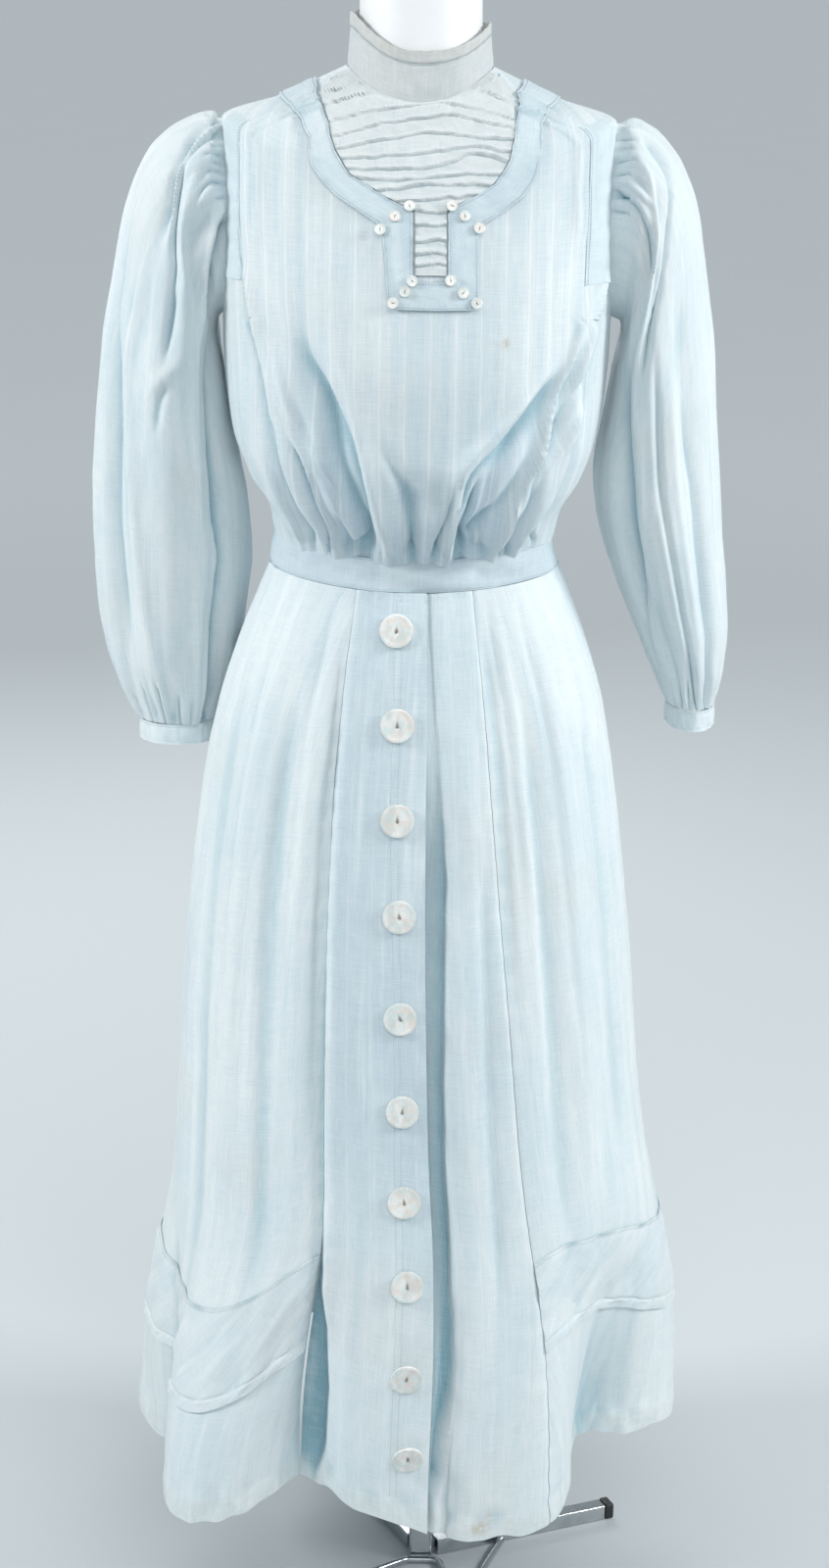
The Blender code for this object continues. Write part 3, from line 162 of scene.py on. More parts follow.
HEM_COLUMNS = ("deg", "x", "y", "z")
HEM_ROWS = (
    (-180.0, 0.000, 0.245, 0.152),
    (-150.0, -0.128, 0.222, 0.153),
    (-125.0, -0.215, 0.160, 0.156),
    (-105.0, -0.246, 0.085, 0.160),
    (-90.0, -0.2535, 0.015, 0.161),
    (-80.0, -0.232, -0.022, 0.150),
    (-72.0, -0.200, -0.045, 0.148),
    (-64.0, -0.205, -0.078, 0.144),
    (-56.0, -0.220, -0.105, 0.139),
    (-48.0, -0.211, -0.140, 0.138),
    (-40.0, -0.187, -0.168, 0.143),
    (-30.0, -0.150, -0.178, 0.156),
    (-22.0, -0.118, -0.178, 0.177),
    (-17.0, -0.094, -0.164, 0.186),
    (-13.0, -0.074, -0.168, 0.183),
    (-9.0, -0.055, -0.187, 0.176),
    (-4.0, -0.025, -0.198, 0.169),
    (0.0, 0.000, -0.2025, 0.163),
    (4.0, 0.022, -0.203, 0.156),
    (8.0, 0.037, -0.190, 0.148),
    (12.0, 0.057, -0.200, 0.146),
    (18.0, 0.090, -0.197, 0.1485),
    (24.0, 0.119, -0.188, 0.151),
    (29.0, 0.1385, -0.162, 0.157),
    (34.0, 0.148, -0.120, 0.156),
    (40.0, 0.152, -0.080, 0.156),
    (48.0, 0.157, -0.046, 0.163),
    (58.0, 0.175, -0.034, 0.165),
    (68.0, 0.201, -0.034, 0.164),
    (78.0, 0.228, -0.022, 0.165),
    (90.0, 0.2515, 0.012, 0.166),
    (105.0, 0.245, 0.085, 0.162),
    (125.0, 0.215, 0.160, 0.156),
    (150.0, 0.128, 0.222, 0.153),
    (180.0, 0.000, 0.245, 0.152),
)
HEM_SHAPE_STARTS = 0.64

# The skirt's folds, of which the back ones come on both sides

FRONT_SKIRT_FOLDS = (
    (-21.5, -17.5, 0.02, 0.90, -0.0060, 2.6),
    (-27.0, -24.0, 0.05, 0.75, 0.0035, 3.2),
    (-36.0, -33.0, 0.06, 0.90, -0.0045, 4.0),
    (-48.0, -46.0, 0.05, 0.85, 0.0040, 4.5),
    (-61.0, -62.0, 0.08, 0.85, -0.0055, 5.0),
    (-78.0, -80.0, 0.08, 1.20, 0.0020, 6.0),
    (14.5, 13.0, 0.08, 0.85, 0.0035, 3.0),
    (25.0, 25.0, 0.01, 0.50, -0.0040, 2.2),
    (34.0, 37.0, 0.06, 0.80, -0.0045, 4.0),
    (46.0, 48.0, 0.05, 0.70, 0.0040, 4.5),
    (62.0, 63.0, 0.08, 0.75, -0.0050, 5.0),
    (80.0, 82.0, 0.08, 1.20, 0.0015, 6.0),
)
BACK_SKIRT_FOLDS = (
    (104.0, 106.0, 0.10, 1.30, -0.0060, 7.0),
    (128.0, 128.0, 0.05, 1.30, -0.0080, 7.0),
    (152.0, 150.0, 0.03, 1.30, -0.0100, 7.0),
    (170.0, 167.0, 0.01, 1.30, -0.0080, 5.0),
)

# The skirt's seams, as angles at five depths

SEAM_COLUMNS = ("t", "left_gore", "free_edge", "right_gore")
SEAM_ROWS = (
    (0.00, -22.5, 5.2, 23.4),
    (0.15, -20.5, 4.2, 21.5),
    (0.45, -18.2, 3.4, 23.4),
    (0.75, -17.3, 3.2, 25.1),
    (1.00, -17.0, 3.6, 26.0),
)
BACK_SEAM_DEG = 113.0
HALF_SEAM_DEG = math.degrees(SEAM / 2 / 0.10)
LAP_DEG = 3.2
LAP_DROP = 0.0021

# The bias bands' upper and lower edges, as depths t on the skirt

BAND_COLUMNS = ("deg", "upper", "lower")
BAND_ROWS = (
    (-180.0, 0.745, 0.865),
    (-90.0, 0.762, 0.875),
    (-64.0, 0.770, 0.880),
    (-45.0, 0.762, 0.876),
    (-17.0, 0.725, 0.840),
    (3.0, 0.720, 0.830),
    (25.0, 0.702, 0.800),
    (35.0, 0.692, 0.792),
    (53.0, 0.704, 0.812),
    (90.0, 0.735, 0.852),
    (180.0, 0.745, 0.865),
)

# The tucked yoke and the shaped band round it, as places on the bodice's front

YOKE_COLUMNS = ("s", "left_deg", "right_deg")
YOKE_ROWS = (
    (0.618, -0.8, 7.0),
    (0.735, -1.0, 6.8),
    (0.745, -1.2, 7.2),
    (0.757, -4.8, 10.4),
    (0.765, -7.2, 13.6),
    (0.789, -13.1, 19.8),
    (0.804, -17.4, 21.6),
    (0.834, -20.9, 24.8),
    (0.854, -24.6, 27.7),
    (0.897, -36.1, 38.7),
    (0.922, -46.0, 46.0),
    (0.949, -62.0, 56.0),
    (0.980, -72.0, 69.0),
)
YOKE_BOTTOM_S = 0.622

YOKE_BAND_COLUMNS = ("inner_deg", "inner_s", "outer_deg", "outer_s")
YOKE_BAND_ROWS = (
    (-84.0, 0.957, -84.0, 0.905),
    (-68.0, 0.949, -62.0, 0.899),
    (-48.0, 0.922, -46.0, 0.885),
    (-36.0, 0.897, -35.0, 0.861),
    (-26.5, 0.862, -31.0, 0.835),
    (-21.0, 0.834, -29.0, 0.802),
    (-17.6, 0.804, -26.0, 0.784),
    (-13.1, 0.789, -21.5, 0.761),
    (-7.0, 0.764, -15.5, 0.739),
    (-2.6, 0.747, -10.0, 0.717),
    (-1.1, 0.738, -8.4, 0.697),
    (-1.0, 0.660, -7.5, 0.640),
    (-0.9, 0.616, -6.7, 0.576),
    (-0.4, 0.611, -5.0, 0.567),
    (3.0, 0.609, 4.0, 0.566),
    (6.6, 0.611, 13.6, 0.567),
    (7.1, 0.617, 15.2, 0.576),
    (7.0, 0.660, 15.3, 0.630),
    (6.9, 0.736, 14.9, 0.697),
    (8.4, 0.749, 16.4, 0.713),
    (12.0, 0.761, 21.0, 0.731),
    (19.6, 0.787, 28.5, 0.757),
    (22.8, 0.815, 32.5, 0.784),
    (25.5, 0.840, 33.8, 0.812),
    (27.9, 0.856, 35.0, 0.832),
    (33.2, 0.878, 39.0, 0.857),
    (38.9, 0.898, 46.0, 0.879),
    (59.0, 0.947, 61.0, 0.899),
    (84.0, 0.957, 84.0, 0.905),
)
ARMHOLE_STRIP_LOW_S = 0.60
ARMHOLE_STRIP_TOP_S = 0.85
ARMHOLE_STRIP_LEFT_DEG = 60.5
ARMHOLE_STRIP_RIGHT_DEG = 55.0
ARMHOLE_STRIP_END_DEG = 76.0
BACK_PLACKET_DEG = 4.0

# Small buttons: angle, s, lift over the yoke's end and spin in degrees

SMALL_BUTTON_ROWS = (
    (-1.8, 0.748, 0.00036, 20),
    (-5.2, 0.728, 0.00018, -35),
    (-8.9, 0.702, 0.0, 5),
    (7.8, 0.748, 0.00036, 60),
    (11.2, 0.729, 0.0, 15),
    (15.2, 0.705, 0.0, -20),
    (-1.0, 0.611, 0.0, 40),
    (-2.6, 0.594, 0.0, -10),
    (-5.4, 0.576, 0.0, 75),
    (7.6, 0.613, 0.0, 10),
    (10.9, 0.593, 0.0, -50),
    (14.6, 0.577, 0.0, 30),
)

# Large buttons: angle, t, spin and tilt in degrees

LARGE_BUTTON_ROWS = (
    (-5.6, 0.038, -6, 0),
    (-3.4, 0.133, 0, 0),
    (-2.2, 0.230, 4, 0),
    (-1.3, 0.330, 12, 0),
    (-1.0, 0.438, 30, 0),
    (-0.7, 0.538, -8, 0),
    (-0.7, 0.637, 10, 0),
    (-0.5, 0.728, 0, 4),
    (-0.4, 0.828, -14, 16),
    (0.2, 0.918, 6, 20),
)

# The sleeves' sections from the armhole to the cuff: v, x and z of the outer and of the inner end of the
# section's long axis, its middle y and half its depth

LEFT_SLEEVE_ROWS = (
    (0.05, 0.176, 1.3625, 0.172, 1.194, 0.001, 0.050),
    (0.11, 0.197, 1.3560, 0.174, 1.180, 0.007, 0.059),
    (0.19, 0.227, 1.3350, 0.170, 1.160, 0.013, 0.064),
    (0.28, 0.250, 1.2900, 0.166, 1.134, 0.019, 0.064),
    (0.37, 0.262, 1.2320, 0.162, 1.104, 0.025, 0.062),
    (0.47, 0.274, 1.1640, 0.156, 1.069, 0.030, 0.060),
    (0.57, 0.281, 1.0900, 0.150, 1.030, 0.034, 0.059),
    (0.68, 0.284, 1.0100, 0.148, 0.985, 0.039, 0.058),
    (0.78, 0.282, 0.9450, 0.152, 0.940, 0.044, 0.056),
    (0.86, 0.2755, 0.8960, 0.158, 0.895, 0.050, 0.052),
    (0.92, 0.2645, 0.8620, 0.166, 0.861, 0.055, 0.046),
    (0.97, 0.2530, 0.8390, 0.176, 0.839, 0.057, 0.038),
    (1.00, 0.2485, 0.8290, 0.1795, 0.8290, 0.058, 0.034),
)
RIGHT_SLEEVE_ROWS = (
    (0.05, 0.174, 1.3620, 0.171, 1.194, 0.001, 0.050),
    (0.11, 0.192, 1.3540, 0.172, 1.178, 0.007, 0.061),
    (0.19, 0.215, 1.3300, 0.167, 1.158, 0.013, 0.067),
    (0.28, 0.232, 1.2920, 0.163, 1.132, 0.018, 0.069),
    (0.37, 0.242, 1.2360, 0.158, 1.100, 0.023, 0.069),
    (0.47, 0.252, 1.1650, 0.154, 1.066, 0.027, 0.069),
    (0.57, 0.258, 1.0900, 0.157, 1.028, 0.031, 0.068),
    (0.68, 0.265, 1.0150, 0.168, 0.990, 0.035, 0.067),
    (0.78, 0.272, 0.9570, 0.182, 0.952, 0.041, 0.064),
    (0.86, 0.2765, 0.9120, 0.199, 0.912, 0.046, 0.059),
    (0.92, 0.2745, 0.8820, 0.212, 0.882, 0.051, 0.053),
    (0.97, 0.2700, 0.8600, 0.2215, 0.860, 0.054, 0.047),
    (1.00, 0.2685, 0.8510, 0.2255, 0.8510, 0.055, 0.044),
)
SLEEVE_PIPE_COUNT = 14
CAP_PIPE_HEIGHT = 0.0024
CUFF_PIPE_HEIGHT = 0.0016
SLEEVE_START = 0.0013
LEFT_CUFF_BOTTOM_Z = 0.8100
RIGHT_CUFF_BOTTOM_Z = 0.8315
LEFT_SLEEVE_FOLDS = (
    (52.0, 48.0, 0.28, 1.05, -0.0085, 13.0),
    (24.0, 22.0, 0.25, 0.95, 0.0025, 13.0),
    (88.0, 92.0, 0.20, 1.00, 0.0050, 14.0),
    (128.0, 124.0, 0.18, 1.02, -0.0070, 13.0),
    (-40.0, -44.0, 0.25, 1.00, -0.0060, 15.0),
    (-100.0, -96.0, 0.25, 1.00, -0.0060, 15.0),
)
RIGHT_SLEEVE_FOLDS = (
    (140.0, 118.0, 0.22, 1.04, -0.0085, 13.0),
    (98.0, 92.0, 0.20, 0.95, 0.0050, 14.0),
    (64.0, 60.0, 0.28, 1.02, -0.0065, 13.0),
    (28.0, 26.0, 0.25, 0.95, 0.0025, 13.0),
    (-40.0, -44.0, 0.25, 1.00, -0.0060, 15.0),
    (-100.0, -96.0, 0.25, 1.00, -0.0060, 15.0),
)

# The dress form: r counts its sections from the hips to the neck

FORM_COLUMNS = ("r", "side_x", "side_z", "front_y", "front_z", "back_y", "back_z", "square")
FORM_ROWS = (
    (0.0, 0.140, 0.800, -0.092, 0.800, 0.104, 0.800, 2.2),
    (1.0, 0.144, 0.832, -0.094, 0.832, 0.108, 0.832, 2.2),
    (2.0, 0.136, 0.890, -0.090, 0.890, 0.102, 0.890, 2.1),
    (3.0, 0.116, 0.955, -0.082, 0.952, 0.082, 0.955, 2.0),
    (4.0, 0.106, 1.010, -0.078, 1.004, 0.068, 1.010, 2.0),
    (5.0, 0.116, 1.064, -0.094, 1.054, 0.076, 1.066, 2.0),
    (6.0, 0.132, 1.120, -0.114, 1.112, 0.084, 1.124, 2.1),
    (7.0, 0.142, 1.176, -0.123, 1.172, 0.090, 1.180, 2.2),
    (8.0, 0.149, 1.236, -0.118, 1.230, 0.092, 1.244, 2.2),
    (9.0, 0.1535, 1.296, -0.104, 1.282, 0.0875, 1.302, 2.2),
    (10.0, 0.1545, 1.336, -0.0930, 1.3120, 0.0790, 1.3380, 2.2),
    (11.0, 0.1470, 1.3635, -0.0860, 1.3290, 0.0735, 1.3580, 2.2),
    (12.0, 0.1125, 1.3778, -0.0739, 1.3498, 0.0628, 1.3818, 2.1),
    (13.0, 0.0590, 1.4015, -0.0590, 1.3745, 0.0470, 1.4095, 2.0),
    (14.0, 0.0530, 1.4150, -0.0545, 1.3980, 0.0435, 1.4220, 2.0),
    (15.0, 0.0508, 1.4450, -0.0525, 1.4380, 0.0425, 1.4500, 2.0),
    (16.0, 0.0505, 1.4860, -0.0520, 1.4860, 0.0420, 1.4900, 2.0),
    (17.0, 0.0455, 1.4985, -0.0465, 1.4985, 0.0375, 1.5010, 2.0),
    (18.0, 0.0340, 1.5040, -0.0340, 1.5040, 0.0280, 1.5050, 2.0),
)

# The bent rod that carries the front of the stand, seen from above

ROD_COLUMNS = ("x", "y")
ROD_ROWS = (
    (0.0793, 0.0215),
    (0.0610, -0.0290),
    (0.0490, -0.0700),
    (0.0430, -0.0900),
    (0.0350, -0.0950),
    (0.0290, -0.0860),
    (0.0250, -0.0600),
    (0.0205, -0.0300),
    (0.0170, -0.0190),
    (0.0100, -0.0150),
    (-0.0100, -0.0150),
    (-0.0180, -0.0185),
    (-0.0350, -0.0300),
    (-0.0800, -0.0680),
    (-0.1300, -0.1150),
    (-0.1550, -0.1420),
)


def column(rows, names, key):
    """One named column of a table, as an array."""
    return np.array([row[names.index(key)] for row in rows], float)


def pick(values, index):
    """The values at each index, for one curve or for a curve at each point."""
    if values.ndim == 1:
        return values[index]
    return np.take_along_axis(values, index[None], axis=0)[0]


def flow(x, xs, ys):
    """A smooth curve through a table's points that never overshoots them."""
    ys = np.asarray(ys, float)
    step = np.diff(xs).reshape((-1,) + (1,) * (ys.ndim - 1))
    slope = np.diff(ys, axis=0) / step
    same_way = slope[:-1] * slope[1:] > 0
    before = 2 * step[1:] + step[:-1]
    after = step[1:] + 2 * step[:-1]
    safe_low = np.where(same_way, slope[:-1], 1.0)
    safe_high = np.where(same_way, slope[1:], 1.0)
    middle = np.where(same_way, (before + after) / (before / safe_low + after / safe_high), 0.0)
    tangent = np.concatenate([slope[:1], middle, slope[-1:]])
    x = np.clip(np.asarray(x, float), xs[0], xs[-1])
    i = np.clip(np.searchsorted(xs, x, side="right") - 1, 0, len(xs) - 2)
    width = np.diff(xs)[i]
    t = (x - xs[i]) / width
    return (
        (1 + 2 * t) * (1 - t) ** 2 * pick(ys, i)
        + t * (1 - t) ** 2 * width * pick(tangent, i)
        + t * t * (3 - 2 * t) * pick(ys, i + 1)
        + t * t * (t - 1) * width * pick(tangent, i + 1)
    )


def read(rows, names, x, *keys):
    """The named columns of a table, read smoothly at x, which is a place in its first column."""
    xs = column(rows, names, names[0])
    order = np.argsort(xs)
    return [flow(x, xs[order], column(rows, names, key)[order]) for key in keys]


def smooth(x):
    """A soft step from 0 to 1."""
    x = np.clip(x, 0.0, 1.0)
    return x * x * (3 - 2 * x)


def turned(deg):
    """An angle brought into the half turn on each side of the front."""
    return (np.asarray(deg, float) + 180.0) % 360.0 - 180.0


def oval(deg, side_x, front_y, back_y, square):
    """x and y on a squared oval."""
    angle = np.radians(deg)
    sine, cosine = np.sin(angle), np.cos(angle)
    power = 2.0 / square
    x = side_x * np.sign(sine) * np.abs(sine) ** power
    return x, np.where(cosine > 0, front_y, back_y) * np.abs(cosine) ** power


def tilted_section(rows, names, place, deg):
    """A point on a section whose front, sides and back stand at heights of their own."""
    side_x, side_z, front_y, front_z, back_y, back_z, square = read(rows, names, place, *names[1:])
    x, y = oval(deg, side_x, front_y, back_y, square)
    cosine = np.cos(np.radians(deg))
    middle_z = np.where(cosine > 0, front_z, back_z)
    return np.stack([x + MID_X, y, side_z + (middle_z - side_z) * cosine ** 2], -1)


def fold_height(rows, deg, place):
    """How far the folds of a table stand out of a surface."""
    total = np.zeros(np.broadcast(deg, place).shape)
    for start_deg, end_deg, start, end, height, width in rows:
        along = np.clip((place - start) / (end - start), 0.0, 1.0)
        off = turned(deg - (start_deg + (end_deg - start_deg) * along))
        fade = smooth(along / 0.18) * smooth((1 - along) / 0.35)
        total = total + height * fade * np.exp(-((off / width) ** 2))
    return total


def normals(surface, a, b):
    """Unit normals of a surface, from small steps along it."""
    step_a, step_b = 0.05, 0.0008
    inside = np.clip(b, step_b, 1 - step_b)
    along = surface(a + step_a, b) - surface(a - step_a, b)
    across = surface(a, inside + step_b) - surface(a, inside - step_b)
    normal = np.cross(along, across)
    return normal / np.linalg.norm(normal, axis=-1, keepdims=True)


def raised(surface, height, out):
    """The surface with a relief laid on it. out is 1 or -1, the side that counts as outside."""

    def shape(a, b):
        return surface(a, b) + normals(surface, a, b) * (out * height(a, b))[..., None]

    return shape


# The surfaces


def bodice_base(deg, s):
    return tilted_section(TORSO_ROWS, TORSO_COLUMNS, s, deg)


def bodice_relief(deg, s):
    back = fold_height(BACK_FOLDS, np.abs(turned(deg)), s)
    return fold_height(FRONT_FOLDS, deg, s) + back


def armhole_swing(s):
    """How far round the armhole has turned from the side seam at a height: 0 at its ends, 1 halfway."""
    share = (s - UNDERARM_S) / (SHOULDER_S - UNDERARM_S)
    return np.sqrt(np.clip(1 - (2 * share - 1) ** 2, 0, 1)) * ((share > 0) & (share < 1))


def side_edge(s, turn_deg):
    """The angle of a side edge, a half seam short of the side and swung back at the armhole."""
    depth = read(TORSO_ROWS, TORSO_COLUMNS, s, "front_y")[0]
    return 90.0 + turn_deg * armhole_swing(s) + np.sign(turn_deg) * np.degrees(SEAM / 2 / np.abs(depth))


def skirt_base(deg, t):
    """The skirt's plain hanging shape, which turns into the folded hem towards the floor."""
    deg = turned(deg)
    level = SKIRT_TOP_LEVEL + (HEM_LEVEL - SKIRT_TOP_LEVEL) * t
    mid_x, side_x, front_y, back_y, square = read(SKIRT_ROWS, SKIRT_COLUMNS, level, *SKIRT_COLUMNS[1:])
    x, y = oval(deg, side_x, front_y, back_y, square)
    hem_x, hem_y, hem_z = read(HEM_ROWS, HEM_COLUMNS, deg, *HEM_COLUMNS[1:])
    hem_share = smooth((t - HEM_SHAPE_STARTS) / (1 - HEM_SHAPE_STARTS))
    x = x + (hem_x - x) * hem_share + mid_x * (1 - hem_share)
    y = y + (hem_y - y) * hem_share
    top = SKIRT_TOP_LEVEL - WAIST_DIP * np.clip(np.cos(np.radians(deg)), 0, 1) ** 2
    return np.stack([x, y, top + (hem_z - top) * t], -1)


def armhole_ring(side, deg):
    """The armhole's edge, with the angle counted from its top round the front."""
    share = (1 + np.cos(np.radians(deg))) / 2
    s = UNDERARM_S + (SHOULDER_S - UNDERARM_S) * share
    swing = np.sin(np.radians(deg))
    turn = np.where(swing > 0, -ARMHOLE_FRONT_DEG, -ARMHOLE_BACK_DEG) * swing
    point = bodice_base(side * (90.0 + turn), s)
    return point + np.array([side * SLEEVE_START, 0.0, 0.0])


def sleeve_base(side, rows):
    """A sleeve, with the angle counted from its outer side round the front, and v from the armhole."""

    def shape(deg, v):
        deg, v = np.broadcast_arrays(np.asarray(deg, float), np.asarray(v, float))
        rings = [armhole_ring(side, deg)]
        for row in rows:
            outer_x, outer_z, inner_x, inner_z, mid_y, half_depth = row[1:]
            cosine, sine = np.cos(np.radians(deg)), np.sin(np.radians(deg))
            x = side * ((outer_x + inner_x) / 2 + (outer_x - inner_x) / 2 * cosine)
            z = (outer_z + inner_z) / 2 + (outer_z - inner_z) / 2 * cosine
            rings.append(np.stack([x, mid_y - half_depth * sine, z], -1))
        knots = np.array([0.0] + [row[0] for row in rows])
        stack = np.stack(rings)
        return np.stack([flow(v, knots, stack[..., axis]) for axis in range(3)], -1)

    return shape


def sleeve_relief(rows):
    def height(deg, v):
        pipes = np.cos(np.radians(SLEEVE_PIPE_COUNT * deg))
        cap = smooth(v / 0.05) * smooth((0.26 - v) / 0.18) * smooth((np.cos(np.radians(deg)) + 0.5) / 0.5)
        cuff = smooth((v - 0.82) / 0.12) * smooth((1.0 - v) / 0.04 + 0.35)
        return fold_height(rows, deg, v) + pipes * (CAP_PIPE_HEIGHT * cap + CUFF_PIPE_HEIGHT * cuff)

    return height


def collar(deg, w):
    """The stand collar, from the neck seam at 0 to its top edge at 1."""
    low = bodice_base(deg, np.ones_like(w)) + np.array([0.0, 0.0, KINKED_SEAM])
    x, y = oval(deg, COLLAR_SIDE_X, COLLAR_FRONT_Y, COLLAR_BACK_Y, 2.0)
    sine, cosine = np.sin(np.radians(deg)), np.cos(np.radians(deg))
    rise = np.where(cosine > 0, COLLAR_FRONT_RISE, COLLAR_BACK_RISE) * cosine ** 2
    z = COLLAR_SIDE_Z + rise - COLLAR_SIDE_TILT * sine
    wave = COLLAR_WAVE * np.sin(np.radians(5 * deg + 40))
    top = np.stack([x + MID_X, y, z + wave], -1)
    return low + (top - low) * w[..., None]


def waistband(deg, w):
    """The waistband, from the skirt's seam at 0 to the bodice's at 1."""
    low = skirt_base(deg, np.zeros_like(w)) + np.array([0.0, 0.0, SEAM])
    top = bodice_base(deg, np.zeros_like(w))
    waver = WAISTBAND_WAVE * np.sin(np.radians(3 * deg + 30)) * np.sin(math.pi * w)
    point = low + (top - low) * w[..., None]
    out = np.stack([np.sin(np.radians(deg)), -np.cos(np.radians(deg)), 0 * w], -1)
    return point + out * waver[..., None]


def cuff(side, rows, bottom_z):
    """A narrow cuff, from its bottom edge at 0 to the sleeve's seam at 1."""
    sleeve = sleeve_base(side, rows)

    def shape(deg, w):
        top = sleeve(deg, np.ones_like(w)) - np.array([0.0, 0.0, KINKED_SEAM])
        low = top * np.array([1.0, 1.0, 0.0]) + np.array([0.0, 0.0, bottom_z])
        return low + (top - low) * w[..., None]

    return shape


# Fine form: soft creases, gathers and rumples laid over the main folds


def chance(i, j, seed):
    """A fixed pseudo-random number from -1 to 1 for each point of a lattice."""
    mixed = (i * 374761393 + j * 668265263 + seed * 974634777) & 0xFFFFFFFF
    mixed = ((mixed ^ (mixed >> 13)) * 1274126177) & 0xFFFFFFFF
    return ((mixed ^ (mixed >> 16)) & 0xFFFF) / 32767.5 - 1


def rumple(x, y, seed):
    """Smooth noise from -1 to 1 whose lumps are one unit across."""
    x, y = np.broadcast_arrays(np.asarray(x, float), np.asarray(y, float))
    i, j = np.floor(x).astype(np.int64), np.floor(y).astype(np.int64)
    a, b = smooth(x - i), smooth(y - j)
    low = chance(i, j, seed) * (1 - a) + chance(i + 1, j, seed) * a
    high = chance(i, j + 1, seed) * (1 - a) + chance(i + 1, j + 1, seed) * a
    return low * (1 - b) + high * b


def bump(off, before, after):
    """A soft ridge with a width of its own on each side."""
    return np.exp(-((off / np.where(off < 0, before, after)) ** 2))


def crease_height(rows, deg, place):
    """Folds that are steeper on one side than on the other."""
    total = np.zeros(np.broadcast(deg, place).shape)
    for start_deg, end_deg, start, end, height, before, after in rows:
        along = np.clip((place - start) / (end - start), 0.0, 1.0)
        off = turned(deg - (start_deg + (end_deg - start_deg) * along))
        fade = smooth(along / 0.15) * smooth((1 - along) / 0.4)
        total = total + height * fade * bump(off, before, after)
    return total


# Each crease is a line of places by angle and s, its height, and its widths before and after the line

BODICE_CREASES = (
    (((-33.5, 0.56), (-31.6, 0.489), (-25.8, 0.430), (-21.7, 0.381), (-17.8, 0.326), (-16.0, 0.259),
      (-15.6, 0.180), (-17.7, 0.00)), -0.0068, 5.5, 1.1),
    (((-20.5, 0.500), (-18.5, 0.451), (-17.0, 0.387), (-14.6, 0.318), (-12.6, 0.233), (-11.6, 0.162),
      (-10.5, 0.00)), 0.0044, 1.5, 2.6),
    (((-9.6, 0.360), (-9.2, 0.343), (-5.7, 0.290), (-3.0, 0.243), (-1.5, 0.174), (-0.9, 0.00)),
      -0.0034, 1.4, 3.4),
    (((-46.5, 0.530), (-45.1, 0.503), (-40.7, 0.408), (-34.2, 0.332), (-26.2, 0.240), (-20.3, 0.00)),
      0.0040, 2.6, 1.5),
    (((-38.5, 0.400), (-36.0, 0.360), (-30.8, 0.285), (-24.8, 0.190), (-21.6, 0.00)), -0.0042, 1.5, 2.2),
    (((-49.6, 0.500), (-48.5, 0.483), (-45.3, 0.415), (-38.2, 0.344), (-33.9, 0.249), (-33.2, 0.00)),
      0.0032, 2.0, 1.1),
    (((-43.0, 0.360), (-41.2, 0.335), (-36.2, 0.255), (-34.8, 0.150), (-36.0, 0.00)), -0.0036, 1.0, 1.0),
    (((-59.5, 0.660), (-58.3, 0.628), (-53.8, 0.559), (-50.6, 0.482), (-48.3, 0.394), (-47.0, 0.330)),
      0.0034, 1.1, 3.2),
    (((-62.5, 0.660), (-60.5, 0.610), (-56.2, 0.545), (-53.0, 0.482), (-50.6, 0.394)),
      -0.0030, 1.8, 1.1),
    (((-50.5, 0.340), (-49.1, 0.320), (-45.9, 0.217), (-44.0, 0.00)), -0.0030, 1.8, 1.4),
    (((-56.0, 0.300), (-52.5, 0.200), (-52.0, 0.00)), 0.0026, 1.8, 1.6),
    (((49.5, 0.500), (44.2, 0.472), (30.8, 0.400), (23.2, 0.356), (16.1, 0.310), (13.2, 0.280),
      (12.9, 0.241), (13.9, 0.124), (14.0, 0.00)), 0.0046, 3.6, 1.3),
    (((51.0, 0.480), (45.8, 0.452), (33.0, 0.378), (25.6, 0.333), (18.8, 0.295), (15.8, 0.260),
      (15.4, 0.220), (16.4, 0.00)), -0.0076, 1.3, 7.5),
    (((61.5, 0.650), (59.9, 0.618), (53.2, 0.536), (48.4, 0.450), (44.2, 0.365), (40.1, 0.291),
      (36.4, 0.240), (33.6, 0.00)), 0.0040, 1.5, 1.3),
    (((64.5, 0.540), (62.0, 0.504), (55.6, 0.436), (49.6, 0.371), (43.9, 0.306), (40.0, 0.221),
      (40.6, 0.00)), -0.0050, 1.4, 1.5),
    (((73.0, 0.650), (71.3, 0.611), (62.9, 0.559), (57.0, 0.507), (51.5, 0.389), (47.2, 0.330)),
      0.0038, 1.8, 2.2),
    (((66.5, 0.470), (62.5, 0.437), (53.0, 0.340), (45.2, 0.262), (44.4, 0.00)), 0.0040, 1.3, 2.6),
    (((36.5, 0.260), (35.7, 0.208), (36.6, 0.00)), -0.0032, 0.9, 1.3),
    (((19.6, 0.290), (19.2, 0.250), (18.7, 0.195), (19.4, 0.00)), -0.0040, 0.9, 1.1),
    (((21.6, 0.270), (21.3, 0.195), (22.2, 0.00)), 0.0024, 1.0, 1.4),
    (((11.3, 0.280), (11.1, 0.242), (11.0, 0.186), (6.9, 0.00)), -0.0036, 0.9, 1.2),
    (((56.0, 0.150), (54.0, 0.060), (58.0, 0.00)), -0.0030, 1.3, 1.6),
    (((27.0, 0.180), (28.5, 0.00)), -0.0026, 1.2, 1.6),
    (((-27.5, 0.180), (-28.5, 0.00)), -0.0024, 1.2, 1.6),
)
BODICE_HOLLOWS = (
    (((-36.0, 0.62), (-32.0, 0.500), (-26.0, 0.330), (-23.0, 0.180), (-22.0, 0.00)), -0.0075, 9.0, 5.5),
    (((48.0, 0.520), (42.0, 0.430), (28.0, 0.310), (22.0, 0.200), (20.0, 0.00)), -0.0085, 4.5, 9.0),
    (((2.0, 0.300), (3.0, 0.180), (4.0, 0.00)), -0.0045, 9.0, 9.0),
)
CREASE_STRENGTH = 1.60
